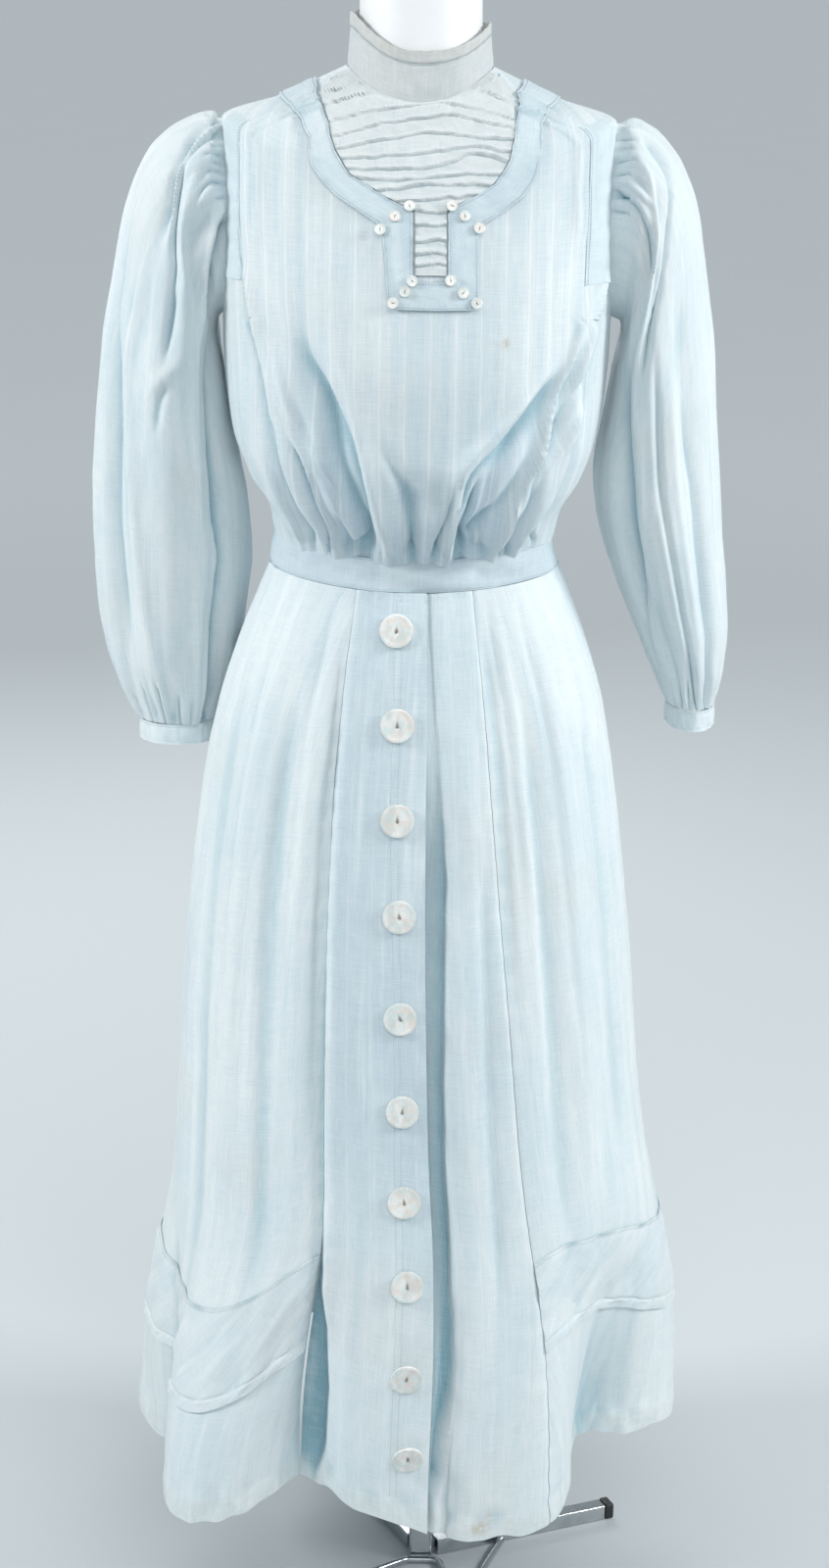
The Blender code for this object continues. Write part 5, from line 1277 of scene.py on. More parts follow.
def cotton(name, pale, deep, white=(0.86, 0.92, 0.94), stripes=1.0, turn=0.0, blots=1.0):
    """Washed cotton: woven stripes, slubs, faded blots and stains, with painted shade that darkens the
    folds.
    """
    nodes = Nodes(name)
    flat = nodes.attribute("flat")
    u, v, seed = nodes.parts(flat)
    if turn:
        cosine, sine = math.cos(turn), math.sin(turn)
        across = nodes.math("ADD", nodes.times(u, cosine), nodes.times(v, sine))
        v = nodes.math("SUBTRACT", nodes.times(v, cosine), nodes.times(u, sine))
        u = across
    stain, tint_and_shade, fold_shade = nodes.parts(nodes.attribute("marks"))
    spot = nodes.vector(u, v, seed)
    fade = nodes.noise(nodes.vector(u, nodes.times(v, 0.45), seed), 13.0, 4.0, 0.6)
    color = nodes.mix(nodes.ramp(fade, 0.34, 0.70), deep, pale)
    warm = nodes.noise(nodes.vector(u, v, nodes.math("ADD", seed, 3.7)), 7.0, 2.0, 0.5)
    color = nodes.cover(color, (0.70, 0.735, 0.73), nodes.ramp(warm, 0.50, 0.72), 0.45 * blots)
    # This mark is partly real tint, such as the skirt's bluer front panels, and partly painted shade, such
    # as the bodice's lower front and hollows
    color = nodes.cover(color, (0.50, 0.62, 0.70), tint_and_shade, 0.75)
    if stripes:
        broken = nodes.noise(nodes.vector(nodes.times(u, 3.0), v, seed), 22.0, 2.0, 0.5)
        broken = nodes.ramp(broken, 0.30, 0.60)
        blue = line(nodes, u, STRIPE_SPACING, 0.0085, 0.0042)
        color = nodes.cover(color, (0.46, 0.62, 0.74), blue, 0.26 * stripes)
        for shift, width, share in ((0.0060, 0.0007, 0.30), (0.0112, 0.0006, 0.26), (0.0150, 0.0005, 0.14)):
            fine = line(nodes, u, STRIPE_SPACING, shift, width)
            color = nodes.cover(color, (0.38, 0.55, 0.68), fine, share * stripes)
        bright = line(nodes, u, STRIPE_SPACING, 0.0, STRIPE_WIDTH)
        share = nodes.times(bright, nodes.math("MULTIPLY_ADD", broken, 0.4, 0.25))
        color = nodes.cover(color, white, share, stripes)
    streak = nodes.noise(nodes.vector(u, nodes.times(v, 0.05), seed), 62.0, 3.0, 0.6)
    color = nodes.cover(color, white, nodes.ramp(streak, 0.52, 0.70), 0.42 * blots)
    color = nodes.cover(color, (0.50, 0.64, 0.71), nodes.ramp(streak, 0.46, 0.30), 0.30 * blots)
    # Painted shade: the folds and hollows are darkened towards deep teal
    color = nodes.cover(color, (0.27, 0.47, 0.55), fold_shade, 0.62)
    down = nodes.noise(nodes.vector(nodes.times(u, 26.0), v, seed), 48.0, 3.0, 0.6)
    over = nodes.noise(nodes.vector(u, nodes.times(v, 26.0), seed), 48.0, 3.0, 0.6)
    slub = nodes.math("ADD", down, over)
    color = nodes.cover(color, (0.90, 0.93, 0.93), nodes.ramp(slub, 0.92, 1.25), 0.22)
    color = nodes.cover(color, (0.42, 0.53, 0.58), nodes.ramp(slub, 1.06, 0.76), 0.16)
    patchy = nodes.ramp(nodes.noise(spot, 160.0, 4.0, 0.65), 0.30, 0.62)
    color = nodes.cover(color, (0.50, 0.40, 0.26), nodes.times(stain, patchy), 0.85)
    thread_u = nodes.math("PINGPONG", u, 0.00028)
    thread_v = nodes.math("PINGPONG", v, 0.00028)
    weave = nodes.math("ADD", nodes.times(nodes.math("ADD", thread_u, thread_v), 900.0), slub)
    nodes.relief(weave, 0.00022, 0.75)
    rough = nodes.math("MULTIPLY_ADD", slub, 0.10, 0.76)
    return nodes.finish(color, rough, Sheen_Weight=0.22, Sheen_Roughness=0.45, Specular_IOR_Level=0.25)


def shell_material(name):
    """Polished shell with cloudy bands."""
    nodes = Nodes(name)
    node = nodes.tree.nodes.new("ShaderNodeTexCoord")
    place = node.outputs["Object"]
    x, y, z = nodes.parts(place)
    cloud = nodes.noise(nodes.vector(x, y, nodes.times(z, 0.5)), 95.0, 4.0, 0.6)
    band = nodes.noise(nodes.vector(x, nodes.times(y, 0.3), nodes.times(z, 1.6)), 105.0, 2.0, 0.5)
    color = nodes.mix(nodes.ramp(cloud, 0.34, 0.64), (0.66, 0.70, 0.67), (0.88, 0.88, 0.85))
    color = nodes.cover(color, (0.80, 0.70, 0.65), nodes.ramp(band, 0.52, 0.62), 0.55)
    color = nodes.cover(color, (0.68, 0.80, 0.81), nodes.ramp(band, 0.47, 0.36), 0.50)
    nodes.relief(cloud, 0.00005, 0.5)
    return nodes.finish(color, 0.22, Coat_Weight=0.5, Coat_Roughness=0.12, Specular_IOR_Level=0.6)


def speckled(name, color, other, roughness, scale, metallic=0.0, **constants):
    """A hard material with a faint mottle in its colour and roughness."""
    nodes = Nodes(name)
    place = nodes.tree.nodes.new("ShaderNodeTexCoord").outputs["Object"]
    spots = nodes.noise(place, scale, 4.0, 0.6)
    tone = nodes.mix(nodes.ramp(spots, 0.35, 0.75), color, other)
    rough = nodes.math("MULTIPLY_ADD", spots, roughness * 0.5, roughness * 0.75)
    nodes.relief(spots, 0.00004, 0.4)
    return nodes.finish(tone, rough, Metallic=metallic, **constants)


STRIPED = cotton("striped_cotton_cloth", (0.740, 0.805, 0.825), (0.645, 0.738, 0.777), stripes=0.70)
SOFT_STRIPED = cotton(
    "soft_striped_cotton_cloth", (0.775, 0.840, 0.858), (0.672, 0.768, 0.806), stripes=0.26
)
BIAS = cotton(
    "bias_striped_cotton_cloth", (0.760, 0.828, 0.848), (0.660, 0.755, 0.792), stripes=0.26, turn=0.785
)
PLAIN_BLUE = cotton(
    "plain_blue_cotton_cloth", (0.625, 0.720, 0.770), (0.545, 0.655, 0.720), stripes=0.0, blots=0.6
)
PALE_BLUE = cotton(
    "pale_blue_cotton_cloth", (0.675, 0.765, 0.805), (0.600, 0.705, 0.755), stripes=0.0, blots=0.6
)
WHITE = cotton("white_cotton_cloth", (0.710, 0.745, 0.742), (0.640, 0.690, 0.700), stripes=0.0, blots=0.5)
COLLAR_WHITE = cotton(
    "collar_cotton_cloth", (0.625, 0.652, 0.648), (0.562, 0.604, 0.611), stripes=0.0, blots=0.5
)
THREAD = speckled("sewing_thread", (0.50, 0.58, 0.61), (0.40, 0.48, 0.52), 0.7, 900.0)
BLUE_THREAD = speckled("blue_sewing_thread", (0.38, 0.49, 0.56), (0.30, 0.40, 0.49), 0.7, 900.0)
TAN_THREAD = speckled("tan_sewing_thread", (0.50, 0.49, 0.45), (0.40, 0.40, 0.38), 0.7, 900.0)
BUTTON_THREAD = speckled("button_thread", (0.42, 0.38, 0.32), (0.28, 0.25, 0.22), 0.8, 900.0)
PEARL = shell_material("polished_shell")
FORM = speckled("white_form_surface", (0.93, 0.94, 0.95), (0.90, 0.92, 0.93), 0.42, 40.0, Coat_Weight=0.15)
CHROME = speckled("polished_chrome", (0.62, 0.65, 0.67), (0.52, 0.55, 0.57), 0.16, 60.0, metallic=1.0)
BLACK = speckled("black_moulded_plastic", (0.018, 0.018, 0.020), (0.035, 0.035, 0.037), 0.45, 300.0)


# The pieces


# How finely each piece is meshed, as rows and columns

GRID = {
    "bodice_front": (134, 206),
    "bodice_back": (134, 58),
    "back_placket": (150, 16),
    "yoke": (214, 76),
    "armhole_strip": (90, 34),
    "collar": (24, 250),
    "collar_edge": (10, 250),
    "waistband": (20, 330),
    "cuff": (18, 150),
    "dress_form": (110, 90),
}
SKIRT_GRID_ROWS = 154
SLEEVE_GRID_COLUMNS = 142

# Small heights and places of the cloth pieces

TRIM_LIFT = 0.0012
YOKE_LIFT = 0.0016
STRIP_LIFT = 0.0007
BAND_OVER_YOKE = 0.0013
BODICE_TOP_S = 0.9985
CENTRE_BACK_DEG = 179.86
STRIPE_SHIFT = 0.0110
WAIST_TUCK_REACH = 0.028
WAIST_TUCK_IN = 0.0022
WAIST_TUCK_DOWN = 0.0075
FIRST_INSERT_TUCK = 14
PLACKET_PLACES = (0.0, 0.09, 0.40, 0.83, 1.0)
PLACKET_LINES = ((-6.6, -5.1, -2.2, -2.1, -2.2), (-4.2, -3.1, -0.9, -1.2, -1.3))


def cut(nodes):
    """Hides the imported parts that a cloth piece stands in for."""
    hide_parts(*nodes)


def spread(low, high, count):
    """Columns of angles between two edges, one pair of edges for each row."""
    share = np.linspace(0, 1, count)
    return np.asarray(low)[:, None] * (1 - share) + np.asarray(high)[:, None] * share


def column_of(rows, count):
    return np.repeat(np.asarray(rows)[:, None], count, axis=1)


def lifted(deg, s):
    """The bodice, whose lower edge tucks in behind the waistband."""
    near = (1 - smooth(s / WAIST_TUCK_REACH))[..., None]
    inward = normals(bodice_base, deg, s) * WAIST_TUCK_IN
    return bodice_fine(deg, s) - near * (inward + np.array([0.0, 0.0, WAIST_TUCK_DOWN]))


def make_bodice():
    rows, cols = GRID["bodice_front"]
    s = np.linspace(0.0, BODICE_TOP_S, rows)
    front = np.array([side_edge(v, -ARMHOLE_FRONT_DEG) for v in s])
    back = np.array([side_edge(v, ARMHOLE_BACK_DEG) for v in s])
    degs, places = spread(-front, front, cols), column_of(s, cols)
    flat = flat_places(bodice_base(degs, places), cols // 2, 0.8, 60)
    flat[..., 0] += STRIPE_SHIFT
    stain = 1.1 * blob(degs, places, 24.1, 0.513, 0.9, 0.006)
    stain = stain + 0.25 * blob(degs, places, 22.6, 0.51, 2.6, 0.012)
    # Painted shade: the lower front, which faces down under the pouch, and the broad hollows are given a
    # darker blue tint
    tint_and_shade = 0.42 * smooth((0.52 - places) / 0.40) * smooth((70.0 - np.abs(degs)) / 25.0)
    tint_and_shade = tint_and_shade + 0.55 * np.clip(-crease_lines(BODICE_HOLLOWS, degs, places) / 0.008, 0, 1)
    item = shell("bodice_front_cloth", lifted(degs, places), 1, STRIPED, flat=flat, stain=stain, tint_and_shade=tint_and_shade)
    cut(["bodice_front"])
    centre = np.full_like(s, CENTRE_BACK_DEG)
    rows, cols = GRID["bodice_back"]
    for label, low, high, middle in (("right", back, centre, cols - 1), ("left", -centre, -back, 0)):
        degs, places = spread(low, high, cols), column_of(s, cols)
        flat = flat_places(bodice_base(degs, places), middle, 0.8, 60)
        item = shell(f"bodice_back_{label}_cloth", lifted(degs, places), 1, STRIPED, flat=flat)
        cut([f"bodice_back_{label}"])
    rows, cols = GRID["back_placket"]
    s = np.linspace(0.05, 0.975, rows)
    middle = s * 0 + 180.0
    degs, places = spread(middle - BACK_PLACKET_DEG, middle + BACK_PLACKET_DEG, cols), column_of(s, cols)
    item = shell("back_placket_cloth", on_bodice(degs, places, SHELL + TRIM_LIFT), 1, PLAIN_BLUE)
    cut(["back_placket"])


def on_bodice(deg, s, lift):
    """A point on the bodice's outer side, lifted off it."""
    return lifted(deg, s) + normals(bodice_fine, deg, s) * np.asarray(lift)[..., None]


# Each tuck is a line of places, by angle and by s

YOKE_TUCK_LINES = (
    ((-40.0, 0.880), (-36.4, 0.904), (-21.2, 0.962), (8.5, 0.997), (32.4, 0.949), (41.0, 0.903),
      (45.0, 0.880)),
    ((-32.0, 0.860), (-28.4, 0.881), (-12.7, 0.937), (12.5, 0.959), (28.7, 0.920), (36.5, 0.886),
      (40.0, 0.860)),
    ((-27.0, 0.835), (-23.1, 0.856), (-10.9, 0.892), (3.9, 0.912), (19.9, 0.892), (31.0, 0.867),
      (34.0, 0.850)),
    ((-24.0, 0.825), (-20.2, 0.837), (-9.6, 0.853), (-0.4, 0.861), (14.9, 0.872), (27.3, 0.844),
      (30.0, 0.835)),
    ((-21.0, 0.810), (-17.6, 0.818), (-7.4, 0.826), (0.4, 0.828), (15.3, 0.856), (24.8, 0.825),
      (28.0, 0.812)),
    ((-18.0, 0.798), (-14.2, 0.802), (-7.4, 0.803), (-1.2, 0.805), (10.0, 0.813), (23.2, 0.804),
      (26.0, 0.798)),
    ((-14.0, 0.772), (-9.9, 0.778), (-3.7, 0.786), (1.3, 0.795), (10.0, 0.793), (19.4, 0.785),
      (24.0, 0.776)),
    ((-10.0, 0.760), (-5.1, 0.762), (0.5, 0.764), (5.0, 0.768), (10.1, 0.770), (15.2, 0.773),
      (20.0, 0.772)),
    ((-72.0, 0.945), (-68.3, 0.967), (-65.1, 0.983), (-61.3, 0.998)),
    ((-58.0, 0.928), (-56.2, 0.940), (-52.3, 0.967), (-48.3, 0.995)),
    ((-50.0, 0.915), (-47.6, 0.930), (-42.2, 0.961), (-34.8, 0.991)),
    ((66.0, 0.990), (69.9, 0.984), (73.6, 0.973)),
    ((58.9, 0.987), (61.4, 0.967), (63.2, 0.947), (65.0, 0.930)),
    ((44.4, 0.987), (47.7, 0.953), (49.6, 0.923), (51.0, 0.905)),
    ((-2.0, 0.744), (0.6, 0.742), (3.5, 0.739), (6.3, 0.743), (9.0, 0.744)),
    ((-2.0, 0.717), (0.6, 0.716), (3.0, 0.713), (6.4, 0.718), (9.0, 0.718)),
    ((-2.0, 0.686), (0.6, 0.684), (3.5, 0.689), (6.4, 0.687), (9.0, 0.686)),
    ((-2.0, 0.659), (0.6, 0.661), (3.5, 0.664), (6.4, 0.660), (9.0, 0.662)),
    ((-2.0, 0.641), (0.6, 0.640), (3.5, 0.644), (6.5, 0.642), (9.0, 0.642)),
)


def yoke_relief(deg, s):
    """Soft tucks whose lower edges stand proud and waver, with the cloth rumpled between them."""
    total = np.zeros(np.broadcast(deg, s).shape)
    for number, tuck in enumerate(YOKE_TUCK_LINES):
        marks, levels = np.array(tuck).T
        waver, lump = (0.0024, 1.5) if number >= FIRST_INSERT_TUCK else (0.0034, 2.3)
        off = s - flow(deg, marks, levels) - waver * rumple(deg / lump, 0.5, 50 + number)
        inside = smooth((deg - marks[0]) / 1.5 + 1.0) * smooth((marks[-1] - deg) / 1.5 + 1.0)
        uneven = (0.75 + 0.35 * rumple(deg / 5.0, 1.5, 70 + number)) * inside
        tuck_height = 0.0030 * bump(off, 0.0014, 0.0068) - 0.0011 * bump(off + 0.0036, 0.0022, 0.0016)
        total = total + uneven * tuck_height
    return total + 0.0005 * rumple(deg / 4.0, s * 60.0, 90) + 0.0003 * rumple(deg / 1.6, s * 120.0, 91)


def make_yoke():
    rows, cols = GRID["yoke"]
    s = np.linspace(YOKE_BOTTOM_S, BODICE_TOP_S, rows)
    left, right = read(YOKE_ROWS, YOKE_COLUMNS, s, "left_deg", "right_deg")
    degs, places = spread(left + 0.4, right - 0.4, cols), column_of(s, cols)
    low_top = smooth((1.0 - places) / 0.02 + 0.1)
    points = on_bodice(degs, places, (YOKE_LIFT + yoke_relief(degs, places)) * low_top)
    item = shell("yoke_cloth", points, 1, WHITE)
    cut(["yoke"])


def make_yoke_band():
    columns = [column(YOKE_BAND_ROWS, YOKE_BAND_COLUMNS, key) for key in YOKE_BAND_COLUMNS]
    marks = np.arange(len(YOKE_BAND_ROWS), dtype=float)
    fine = np.linspace(0, len(marks) - 1, 15 * (len(marks) - 1) + 1)
    inner_deg, inner_s, outer_deg, outer_s = (np.interp(fine, marks, values)[:, None] for values in columns)
    share = np.linspace(0, 1, 13)

    def across(at):
        return inner_deg * (1 - at) + outer_deg * at, inner_s * (1 - at) + outer_s * at

    degs, places = across(share)
    creased = 0.00035 * rumple(degs / 2.0, places * 90.0, 95)
    creased = creased + 0.0005 * rumple(degs / 5.0, places * 30.0, 96)
    edge = -0.0004 * (bump(share - 0.09, 0.035, 0.035) + bump(share - 0.91, 0.035, 0.035))
    points = on_bodice(degs, places, YOKE_LIFT + BAND_OVER_YOKE + creased + edge)
    tint_and_shade = 0.34 * smooth((0.87 - places) / 0.09)
    item = shell("yoke_band_cloth", points, -1, PALE_BLUE, tint_and_shade=tint_and_shade)
    cut(["yoke_band"])
    for key, at in (("inner", 0.07), ("outer", 0.93)):
        line_deg, line_s = across(at)
        path = on_bodice(line_deg[:, 0], line_s[:, 0], YOKE_LIFT + BAND_OVER_YOKE + SHELL / 2)
        stitch(f"yoke_band_{key}_stitches", path, BLUE_THREAD)


def make_armhole_strips():
    rows, cols = GRID["armhole_strip"]
    s = np.linspace(ARMHOLE_STRIP_LOW_S, ARMHOLE_STRIP_TOP_S, rows)
    edge = np.minimum(side_edge(s, -ARMHOLE_FRONT_DEG) - 0.6, ARMHOLE_STRIP_END_DEG)
    for name, side, inner in (("left", -1, ARMHOLE_STRIP_LEFT_DEG), ("right", 1, ARMHOLE_STRIP_RIGHT_DEG)):
        ends = sorted(((s * 0 + inner) * side, edge * side), key=lambda row: row[0])
        degs, places = spread(ends[0], ends[1], cols), column_of(s, cols)
        creased = 0.0005 * rumple(degs / 5.0, places * 26.0, 97)
        points = on_bodice(degs, places, STRIP_LIFT + creased)
        item = shell(f"armhole_strip_{name}_cloth", points, 1, PALE_BLUE)
        cut([f"armhole_strip_{name}"])
        path = on_bodice(s * 0 + side * (inner + 1.2), s, s * 0 + STRIP_LIFT + SHELL / 2 + 0.0003)
        stitch(f"armhole_strip_{name}_stitches", path, BLUE_THREAD)


# Sewing thread


def stitch(name, path, finish, pitch=0.0024, length=0.0016, width=0.00034):
    """A row of stitches along a path, each a small rounded bar that sinks at both ends."""
    steps = np.linalg.norm(np.diff(path, axis=0), axis=1)
    along = np.concatenate([[0.0], np.cumsum(steps)])
    count = int((along[-1] - length) / pitch)
    if count < 2:
        return
    middle = (np.arange(count) + 0.5) * pitch
    ring = np.array([(0.0, 1.0), (-1.0, 0.15), (0.0, -0.7), (1.0, 0.15)])
    points = []

    def at(place):
        return np.stack([np.interp(place, along, path[:, axis]) for axis in range(3)], -1)

    spots = [at(middle + length * share) for share in (-0.5, 0.0, 0.5)]
    forward = spots[2] - spots[0]
    forward /= np.maximum(np.linalg.norm(forward, axis=1, keepdims=True), 1e-9)
    up = np.stack([spots[1][:, 0] - MID_X, spots[1][:, 1], 0 * middle], -1)
    up = up - forward * (up * forward).sum(1, keepdims=True)
    up /= np.maximum(np.linalg.norm(up, axis=1, keepdims=True), 1e-9)
    side = np.cross(forward, up)
    for spot, lift, scale in zip(spots, (-0.4, 0.5, -0.4), (0.6, 1.0, 0.6)):
        for a, b in ring:
            points.append(spot + (side * a * scale + up * (b * scale + lift)) * width)
    points = np.stack(points, axis=1)
    corners = []
    for row in range(2):
        for k in range(4):
            n = (k + 1) % 4
            corners.append([row * 4 + k, row * 4 + n, row * 4 + 4 + n, row * 4 + 4 + k])
    corners.extend([[3, 2, 1, 0], [8, 9, 10, 11]])
    base = np.arange(count)[:, None, None] * 12
    faces = (base + np.array(corners)[None]).reshape(-1, 4)
    item = new_piece(name, points, faces, finish)


# Skirt


def skirt_pieces():
    """Each gore's name, edges, columns, surface, flat width and area."""
    gap = HALF_SEAM_DEG
    t = np.linspace(0.0, 1.0, SKIRT_GRID_ROWS)
    left, free, right = (edge_deg(key, t) for key in SEAM_COLUMNS[1:])
    back = BACK_SEAM_DEG + 0 * t
    return (
        ("front_left", left + gap, free, 52, buttoned_panel, 0.145, 0.082),
        ("front_right", free - LAP_DEG, right - gap, 60, under_panel, 0.155, 0.09),
        ("side_left", -back + gap, left - gap, 92, skirt_fine, 0.40, 0.27),
        ("side_right", right + gap, back - gap, 92, skirt_fine, 0.40, 0.25),
        ("back", back + gap, 360 - back - gap, 80, skirt_fine, 0.56, 0.40),
    )


def buttoned_panel(deg, t):
    return skirt_fine(deg, t) + skirt_out(deg, t) * free_edge_ripple(deg, t)[..., None]


def under_panel(deg, t):
    return skirt_fine(deg, t) + skirt_out(deg, t) * under_recess(deg, t)[..., None]


def skirt_marks(part, degs, places, low, high):
    """The stains, tints and shadows of a gore."""
    stain = 0.9 * blob(degs, places, 13.5, 0.985, 1.1, 0.006)
    stain = stain + 0.45 * blob(degs, places, 15.0, 0.975, 0.6, 0.010)
    stain = stain + 0.15 * smooth((places - 0.972) / 0.008)
    stain = stain + 0.8 * blob(degs, places, 86.0, 0.315, 0.5, 0.0016)
    upper = smooth((0.75 - places) / 0.4 + 0.35)
    if part == "front_left":
        tint_and_shade = 0.80 * upper * smooth((degs - low[:, None]) / 3.0)
        # Painted shade in the deep trough in front of the left band's free end
        return stain, tint_and_shade, 0.95 * smooth(-left_trough(degs, places) / 0.008)
    if part == "front_right":
        return stain, 0.35 * upper * smooth((high[:, None] - degs) / 3.0), recess_shadow(degs, places)
    if part == "side_left":
        # Painted shade on the gore's front edge below the band, where the edge would otherwise catch the
        # light
        return stain, 0.0, 0.5 * smooth((degs - high[:, None] + 0.8) / 0.6) * smooth((places - 0.74) / 0.08)
    return stain, 0.0, 0.0


def make_skirt():
    t = np.linspace(0.0, 1.0, SKIRT_GRID_ROWS)
    for part, low, high, count, surface, width, area in skirt_pieces():
        name = f"skirt_{part}"
        degs, places = spread(low, high, count), column_of(t, count)
        points = scalloped(degs, places, surface(degs, places))
        flat = flat_places(skirt_base(degs, places), count // 2)
        stain, tint_and_shade, deep = skirt_marks(part, degs, places, low, high)
        item = shell(f"{name}_cloth", points, -1, SOFT_STRIPED, flat=flat, stain=stain, tint_and_shade=tint_and_shade, deep=deep)
        cut([name])
        hem = surface(degs[-1], 1 - HEM_DEPTH / SKIRT_LENGTH + 0 * degs[-1])
        hem_out = skirt_out(degs[-1], 0.97 + 0 * degs[-1])
        stitch(f"{name}_hem_stitches", hem + hem_out * SHELL / 2, THREAD)


def make_bias_bands():
    gap = HALF_SEAM_DEG
    share = np.concatenate([np.linspace(0, 0.84, 25), np.linspace(0.85, 1, 16)])
    for name, low, high, count, width, under in (
        ("left", -BACK_SEAM_DEG + gap, None, 156, 0.37, "skirt_side_left"),
        ("right", None, BACK_SEAM_DEG - gap, 156, 0.37, "skirt_side_right"),
        ("back", BACK_SEAM_DEG + gap, 360 - BACK_SEAM_DEG - gap, 110, 0.60, "skirt_back"),
    ):
        degs, places = band_grid(name, low, high, count, share, gap)
        out = skirt_out(degs, places)
        points = skirt_fine(degs, places) + out * band_relief(degs, share[:, None])[..., None]
        flat = flat_places(skirt_base(degs, places), count // 2)
        item = shell(f"bias_band_{name}_cloth", points, -1, BIAS, flat=flat)
        cut([f"bias_band_{name}"])
        for key, row in (("top", 1), ("bottom", 28)):
            stitch(f"bias_band_{name}_{key}_stitches", points[row] + out[row] * SHELL / 2, TAN_THREAD)


def skirt_out(deg, t):
    return -normals(skirt_base, deg, t)


def band_grid(name, low, high, count, share, half_gap):
    """The angles and depths of a bias band, whose free front end follows the gore's seam."""
    rows = []
    for part in share:
        deg = -17.5 if name == "left" else 25.0
        for _ in range(4):
            upper, lower = read(BAND_ROWS, BAND_COLUMNS, deg, "upper", "lower")
            deg = edge_deg("left_gore" if name == "left" else "right_gore", upper + (lower - upper) * part)
        start = deg + half_gap if low is None else low
        end = deg - half_gap if high is None else high
        rows.append(np.linspace(start, end, count))
    degs = np.array(rows)
    upper, lower = read(BAND_ROWS, BAND_COLUMNS, turned(degs), "upper", "lower")
    return degs, upper + (lower - upper) * share[:, None]


def band_relief(degs, share):
    """A turned upper edge, a folded lower edge with slanting puckers, and soft slanting pulls between."""
    around = np.radians(turned(degs)) * 0.23
    slant = around + share * 0.085
    pull = 0.0019 * rumple(slant / 0.021, (around - share * 0.085) / 0.07, 41)
    pull = pull + 0.0005 * rumple(slant / 0.009, (around - share * 0.085) / 0.03, 42)
    inside = smooth(share / 0.06) * smooth((0.93 - share) / 0.08 + 0.3)
    fold = smooth((share - 0.885) / 0.02)
    puckers = 0.0009 * fold * rumple(slant / 0.0045, 0.5, 43) * smooth((1.0 - share) / 0.03 + 0.5)
    groove = -0.0009 * bump(share - 0.875, 0.012, 0.012) - 0.0006 * bump(share - 0.035, 0.015, 0.015)
    return 0.0016 + 0.0004 * fold + pull * inside + puckers + groove


def make_placket_lines():
    """The two close lines of stitching down the buttoned panel."""
    t = np.linspace(0.012, 0.975, 500)
    for key, marks in zip(("outer", "inner"), PLACKET_LINES):
        deg = np.interp(t, PLACKET_PLACES, marks)
        path = buttoned_panel(deg, t) + skirt_out(deg, t) * SHELL / 2
        stitch(f"placket_{key}_stitches", path, THREAD)


# Rings: collar, waistband, sleeves and cuffs


def ring(count):
    return np.arange(count) * 360.0 / count - 180.0


def rings(rows, around):
    """The angles and places of a grid that goes round."""
    return np.repeat(around[None], len(rows), axis=0), column_of(rows, len(around))


def make_collar():
    below = COLLAR_SPLIT - SEAM / 0.04

    def height(deg, w):
        deg = turned(deg)
        total = 0.0006 * rumple(deg / 14.0, w * 3.0 + 0.03 * deg, 61)
        total = total + 0.00035 * rumple(deg / 5.0, w * 6.0, 62)
        total = total - 0.0007 * bump(w - 0.70, 0.02, 0.02) + 0.0005 * smooth((w - COLLAR_SPLIT) / 0.03)
        pull = 0.0007 * np.sin(np.radians(deg * 16.0 + w * 300)) * bump(w - 0.78, 0.10, 0.10)
        return total + pull * (0.5 + 0.5 * rumple(deg / 12.0, 0.5, 63))

    surface = raised(collar, height, 1)
    parts = (("collar", -0.03, below, 0.036), ("collar_edge", COLLAR_SPLIT, 1.0, 0.011))
    for name, low, high, depth in parts:
        rows, cols = GRID[name]
        degs, places = rings(np.linspace(low, high, rows), ring(cols))
        points = surface(degs, places)
        if name == "collar_edge":
            lift = 0.0007 * rumple(degs / 4.5, 0.5, 64) * smooth((places - 0.8) / 0.2)
            points = points + upward(lift)
        stain = 0.8 * blob(degs, places, -150.0, 0.95, 6.0, 0.08) + 0.22 * (name == "collar_edge")
        item = shell(f"{name}_cloth", points, 1, COLLAR_WHITE, closed=True, stain=stain)
        cut([name])
    path = surface(ring(600), 0 * ring(600) + COLLAR_SPLIT - 0.03) + ring_out(600) * (SHELL / 2 + 0.0002)
    stitch("collar_stitches", path, THREAD, pitch=0.0020, length=0.0013)


def ring_out(count):
    deg = np.radians(ring(count))
    return np.stack([np.sin(deg), -np.cos(deg), 0 * deg], -1)


def make_waistband():
    def height(deg, w):
        deg = turned(deg)
        dip = bump(deg - 4.0, 34.0, 30.0)
        slant = np.sin(np.radians(deg * 6.0 + w * 160.0 + 40.0 * rumple(deg / 20.0, 0.5, 65)))
        total = 0.0028 * slant * (0.35 + 0.65 * dip) * np.sin(math.pi * np.clip(w, 0, 1))
        total = total + 0.0012 * rumple(deg / 8.0 + 1.5 * w, w * 2.0, 66)
        total = total + 0.0004 * rumple(deg / 3.0, w * 4.0, 67)
        return total - 0.0006 * bump(w - 0.06, 0.03, 0.03) - 0.0006 * bump(w - 0.94, 0.03, 0.03)

    surface = raised(waistband, height, 1)
    rows, cols = GRID["waistband"]
    degs, places = rings(np.linspace(0, 1, rows), ring(cols))
    item = shell("waistband_cloth", surface(degs, places), 1, PLAIN_BLUE, closed=True)
    cut(["waistband"])
    for key, at in (("lower", 0.05), ("upper", 0.95)):
        path = surface(ring(900), 0 * ring(900) + at) + ring_out(900) * SHELL / 2
        stitch(f"waistband_{key}_stitches", path, BLUE_THREAD)


